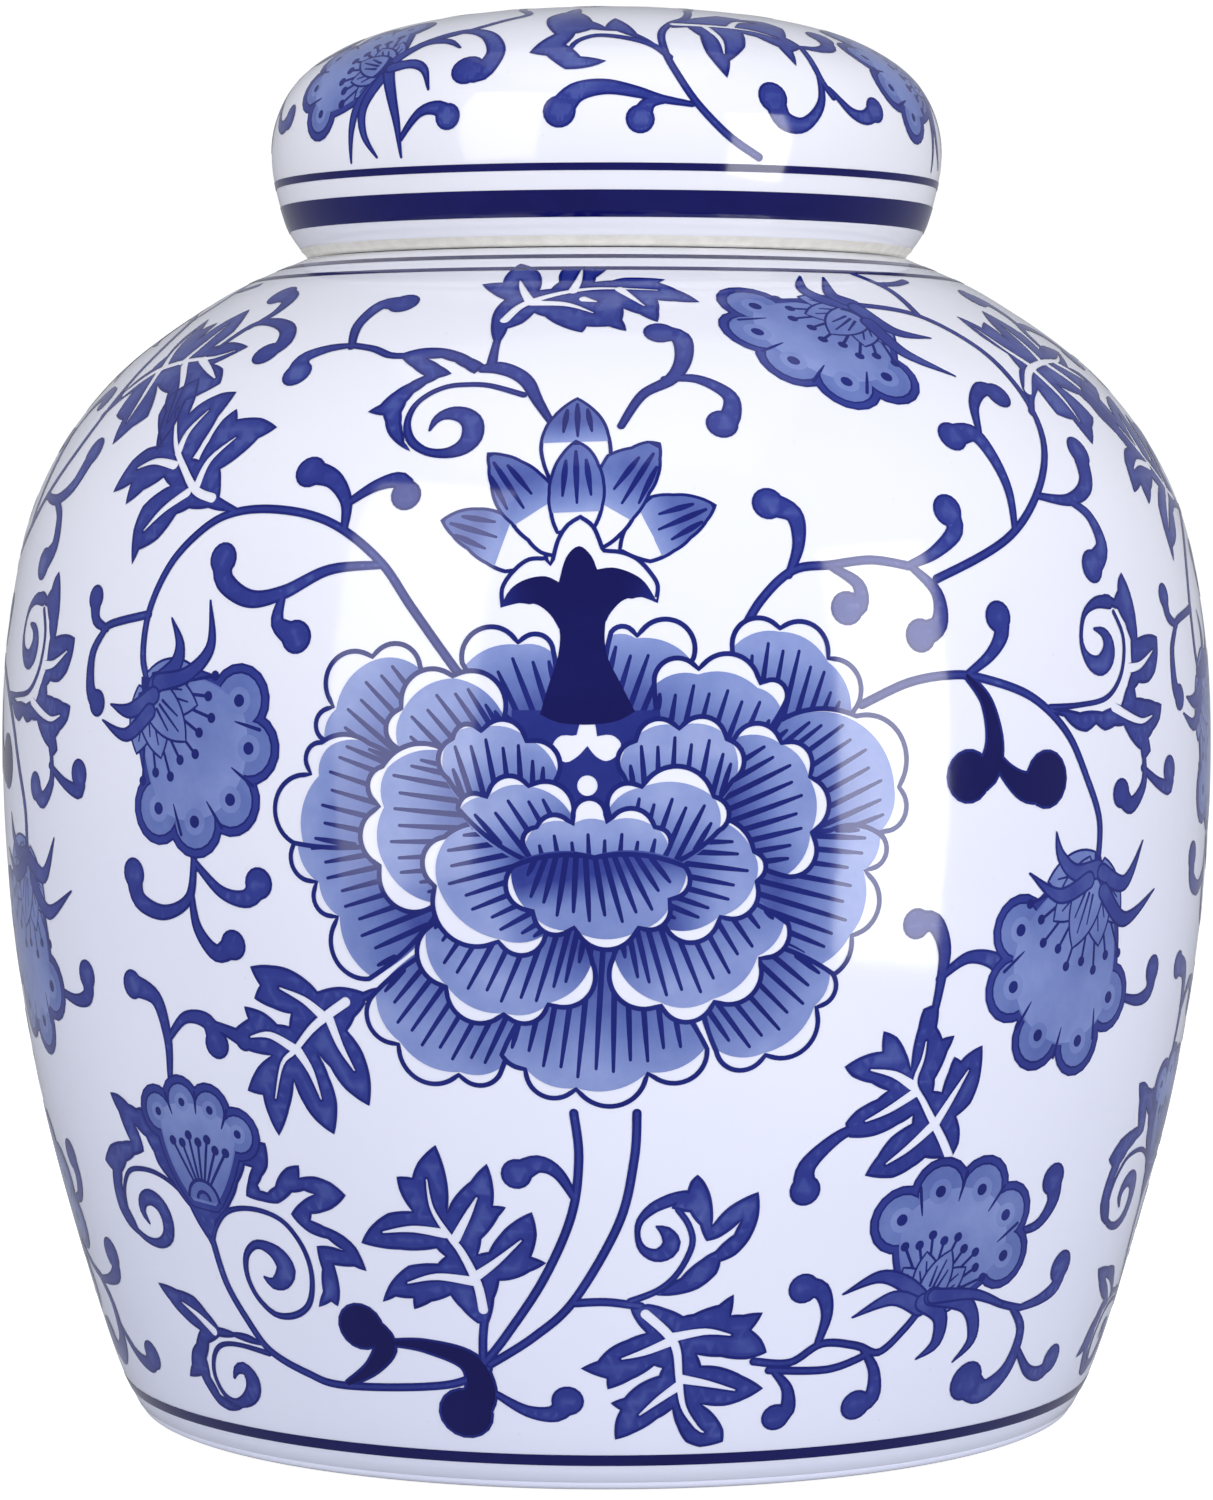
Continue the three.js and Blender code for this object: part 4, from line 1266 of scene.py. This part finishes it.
def glaze_material(name, foot_shade_colour, high_colour):
    """Clear glaze on white porcelain: faint clouds, fine specks, and one colour at the foot running into
    another at the ledge. Where the foot colour is darker and bluer, as on the jar, it is painted shade on
    the lower body."""
    material, nodes, links, shader = new_material(name)
    place = glazed(nodes, links, shader)
    split = nodes.new("ShaderNodeSeparateXYZ")
    # Height up to the ledge, which blends the foot colour's painted shade into the colour above
    climb = nodes.new("ShaderNodeMapRange")
    climb.inputs["From Max"].default_value = SEAT * MM
    body = new_mix(nodes)
    body.inputs["A"].default_value = (*foot_shade_colour, 1)
    body.inputs["B"].default_value = (*high_colour, 1)
    clouds = set_inputs(nodes.new("ShaderNodeTexNoise"), Scale=14, Detail=4)
    tint = new_ramp(nodes, [(0.3, (0.965, 0.968, 0.985)), (0.7, (1, 1, 1))])
    mottled = set_inputs(new_mix(nodes, "MULTIPLY"), Factor=1.0)
    specks = set_inputs(nodes.new("ShaderNodeTexVoronoi"), Scale=170, Randomness=1.0)
    pits = new_ramp(nodes, [(0.025, (0.8, 0.8, 0.82)), (0.05, (1, 1, 1))])
    speckled = set_inputs(new_mix(nodes, "MULTIPLY"), Factor=0.35)
    links.new(place.outputs["Object"], split.inputs["Vector"])
    links.new(split.outputs["Z"], climb.inputs["Value"])
    links.new(climb.outputs["Result"], body.inputs["Factor"])
    links.new(place.outputs["Object"], clouds.inputs["Vector"])
    links.new(clouds.outputs["Fac"], tint.inputs["Fac"])
    links.new(body.outputs["Result"], mottled.inputs["A"])
    links.new(tint.outputs["Color"], mottled.inputs["B"])
    links.new(place.outputs["Object"], specks.inputs["Vector"])
    links.new(specks.outputs["Distance"], pits.inputs["Fac"])
    links.new(mottled.outputs["Result"], speckled.inputs["A"])
    links.new(pits.outputs["Color"], speckled.inputs["B"])
    links.new(speckled.outputs["Result"], shader.inputs["Base Color"])
    return material


def cobalt_material():
    """Cobalt brushed under the glaze, pooled unevenly."""
    material, nodes, links, shader = new_material("cobalt_paint")
    place = glazed(nodes, links, shader)
    tone = nodes.new("ShaderNodeAttribute")
    tone.attribute_name = "tone"
    pools = set_inputs(nodes.new("ShaderNodeTexNoise"), Scale=95, Detail=5, Roughness=0.6)
    spread = nodes.new("ShaderNodeMapRange")
    set_inputs(spread, From_Min=0.25, From_Max=0.75, To_Min=-0.06, To_Max=0.06)
    uneven = nodes.new("ShaderNodeMath")
    uneven.operation = "ADD"
    colour = new_ramp(nodes, COBALT)
    links.new(place.outputs["Object"], pools.inputs["Vector"])
    links.new(pools.outputs["Fac"], spread.inputs["Value"])
    links.new(tone.outputs["Fac"], uneven.inputs[0])
    links.new(spread.outputs["Result"], uneven.inputs[1])
    links.new(uneven.outputs["Value"], colour.inputs["Fac"])
    links.new(colour.outputs["Color"], shader.inputs["Base Color"])
    return material


def bare_material():
    """Unglazed porcelain: dry, creamy and finely pitted."""
    material, nodes, links, shader = new_material("bare_porcelain")
    set_inputs(shader, Roughness=0.75)
    place = ripple(nodes, links, shader, 900, 0.0002)
    grain = set_inputs(nodes.new("ShaderNodeTexNoise"), Scale=420, Detail=6)
    colour = new_ramp(nodes, [(0.35, (0.66, 0.645, 0.59)), (0.62, (0.74, 0.728, 0.68))])
    links.new(place.outputs["Object"], grain.inputs["Vector"])
    links.new(grain.outputs["Fac"], colour.inputs["Fac"])
    links.new(colour.outputs["Color"], shader.inputs["Base Color"])
    return material


def plain_material(name, colour, glow):
    """A dull colour that also glows white."""
    material, *_, shader = new_material(name)
    shader.inputs["Base Color"].default_value = (*colour, 1)
    shader.inputs["Roughness"].default_value = 0.9
    shader.inputs["Specular IOR Level"].default_value = 0.0
    shader.inputs["Emission Color"].default_value = (1, 1, 1, 1)
    shader.inputs["Emission Strength"].default_value = glow
    return material


def dress(piece, material, body):
    """Gives a piece its material and the body that it rides on."""
    piece.data.materials.append(material)
    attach(piece, body)


def build_jar_glaze(face, glaze):
    jar = turned("jar_glaze", jar_profile(face))
    dress(jar, glaze, "jar_body")
    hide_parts("jar_body")


def build_foot_ring(bare):
    inner = FOOT_RADIUS - FOOT_WIDTH + 1
    outer = FOOT_RADIUS - 1
    ring = turned("jar_foot_ring", [(inner, -0.02), ((inner + outer) / 2, -0.04), (outer, -0.02)])
    dress(ring, bare, "jar_body")


def build_neck_lip(bare):
    lip = turned("jar_neck_lip", lip_arc(BARE_LIFT, -12, 192, 20))
    dress(lip, bare, "jar_body")


def build_lid_glaze(face, glaze):
    lid = turned("lid_glaze", lid_profile(face))
    dress(lid, glaze, "lid")
    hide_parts("lid")


def build_lid_rim(face, bare):
    inner = (LID_RIM_RADIUS - LID_WALL - RIM_LIFT, LID_BASE + 1.6)
    outer = inner_wall(face, -RIM_LIFT, 0.05, 0.4, 3)
    rim = turned("lid_rim_bare", [inner, *rim_arcs(BARE_LIFT), *outer])
    dress(rim, bare, "lid")


def build_bands(face, body, cobalt, bands):
    """Rings of paint, each with the lengths up the curve between which it lies."""
    for name, low, high in bands:
        dress(band(name, face, low, high), cobalt, body)


def build_paint(face, body, cobalt, draw, spacing, copies):
    """A pattern drawn once and laid several times round. Each copy has a name and a turn in degrees."""
    canvas = Canvas(face)
    draw(canvas)
    sheet = canvas.sheet(spacing)
    for name, turn in copies:
        dress(painted(name, face, *sheet, turn), cobalt, body)


def build_jar(glaze, cobalt, bare):
    face = Surface(JAR_SHAPE, 0, SEAT)
    build_jar_glaze(face, glaze)
    build_foot_ring(bare)
    build_neck_lip(bare)
    bands = [
        ("jar_band_base", 3.0, 5.0),
        ("jar_band_shoulder", 203.0, 204.3),
        ("jar_band_seat", 208.0, 209.6),
    ]
    build_bands(face, "jar_body", cobalt, bands)
    copies = [("jar_paint_front", 0), ("jar_paint_right", 117), ("jar_paint_left", -117)]
    build_paint(face, "jar_body", cobalt, paint_jar, 2.0, copies)


def build_lid(glaze, cobalt, bare):
    face = Surface(LID_SHAPE, LID_BASE, LID_TOP - LID_BASE)
    build_lid_glaze(face, glaze)
    build_lid_rim(face, bare)
    bands = [("lid_band_wide", 3.7, 8.1), ("lid_band_narrow", 11.1, 12.3)]
    build_bands(face, "lid", cobalt, bands)
    copies = [("lid_paint_front", 0), ("lid_paint_right", 120), ("lid_paint_left", -120)]
    build_paint(face, "lid", cobalt, paint_lid, 1.2, copies)


def build_floor():
    bpy.ops.mesh.primitive_plane_add(size=8, location=(0, 0, -0.0003))
    floor = bpy.context.object
    floor.name = "floor"
    floor.data.materials.append(plain_material("floor_white", (0.62, 0.62, 0.63), 0.76))
    floor.visible_glossy = False
    floor.visible_diffuse = False


def build_backdrop():
    bpy.ops.mesh.primitive_uv_sphere_add(segments=64, ring_count=32, radius=5)
    backdrop = bpy.context.object
    backdrop.name = "backdrop"
    backdrop.data.materials.append(plain_material("backdrop_white", (0, 0, 0), 1.02))
    backdrop.visible_diffuse = False
    backdrop.visible_glossy = False
    backdrop.visible_shadow = False


def build_world():
    world = bpy.data.worlds.new("studio")
    world.use_nodes = True
    set_inputs(world.node_tree.nodes["Background"], Color=(0.9, 0.92, 1, 1), Strength=0.4)
    bpy.context.scene.world = world
    bpy.context.scene.view_settings.view_transform = "Standard"


def softbox(name, angle, height, distance, width, tall, power):
    """An area light aimed at the jar, that many degrees round to the right of the camera, in metres and
    watts."""
    lamp = bpy.data.lights.new(name, "AREA")
    lamp.shape = "RECTANGLE"
    lamp.size, lamp.size_y = width, tall
    lamp.energy = power
    light = bpy.data.objects.new(name, lamp)
    turn = math.radians(angle)
    light.location = (distance * math.sin(turn), -distance * math.cos(turn), height)
    aim = Vector((0, 0, AIM_HEIGHT)) - light.location
    light.rotation_euler = aim.to_track_quat("-Z", "Y").to_euler()
    bpy.context.scene.collection.objects.link(light)
    return light


def build_lights():
    """Three softboxes that reflect in the glaze, and four wide fills that don't."""
    softbox("softbox_left", -36, 0.5, 1.3, 0.65, 1.4, 9.5)
    softbox("softbox_right", 52, 0.2, 1.3, 0.5, 0.95, 11)
    softbox("softbox_top", 0, 1.6, 0.3, 1.4, 1.4, 4)
    for name, angle, power in (
        ("fill_front", 0, 11),
        ("fill_left", -80, 6),
        ("fill_right", 80, 5.5),
        ("fill_back", 180, 8),
    ):
        fill = softbox(name, angle, 0.3, 2.2, 3.2, 3.2, power)
        fill.visible_glossy = False


def build_camera():
    data = bpy.data.cameras.new("camera")
    data.lens = CAMERA_LENS
    data.sensor_width = CAMERA_SENSOR
    camera = bpy.data.objects.new("camera", data)
    camera.location = (0, -CAMERA_DISTANCE, CAMERA_HEIGHT)
    camera.rotation_euler = (math.radians(90 - CAMERA_PITCH), 0, 0)
    bpy.context.scene.collection.objects.link(camera)
    bpy.context.scene.camera = camera


def build():
    cobalt = cobalt_material()
    bare = bare_material()
    # The jar's glaze is darker and bluer towards the foot: painted shade
    build_jar(glaze_material("white_glaze", (0.745, 0.77, 0.93), PORCELAIN), cobalt, bare)
    build_lid(glaze_material("lid_glaze", PORCELAIN, PORCELAIN), cobalt, bare)
    build_floor()
    build_backdrop()
    build_world()
    build_lights()
    build_camera()


build()
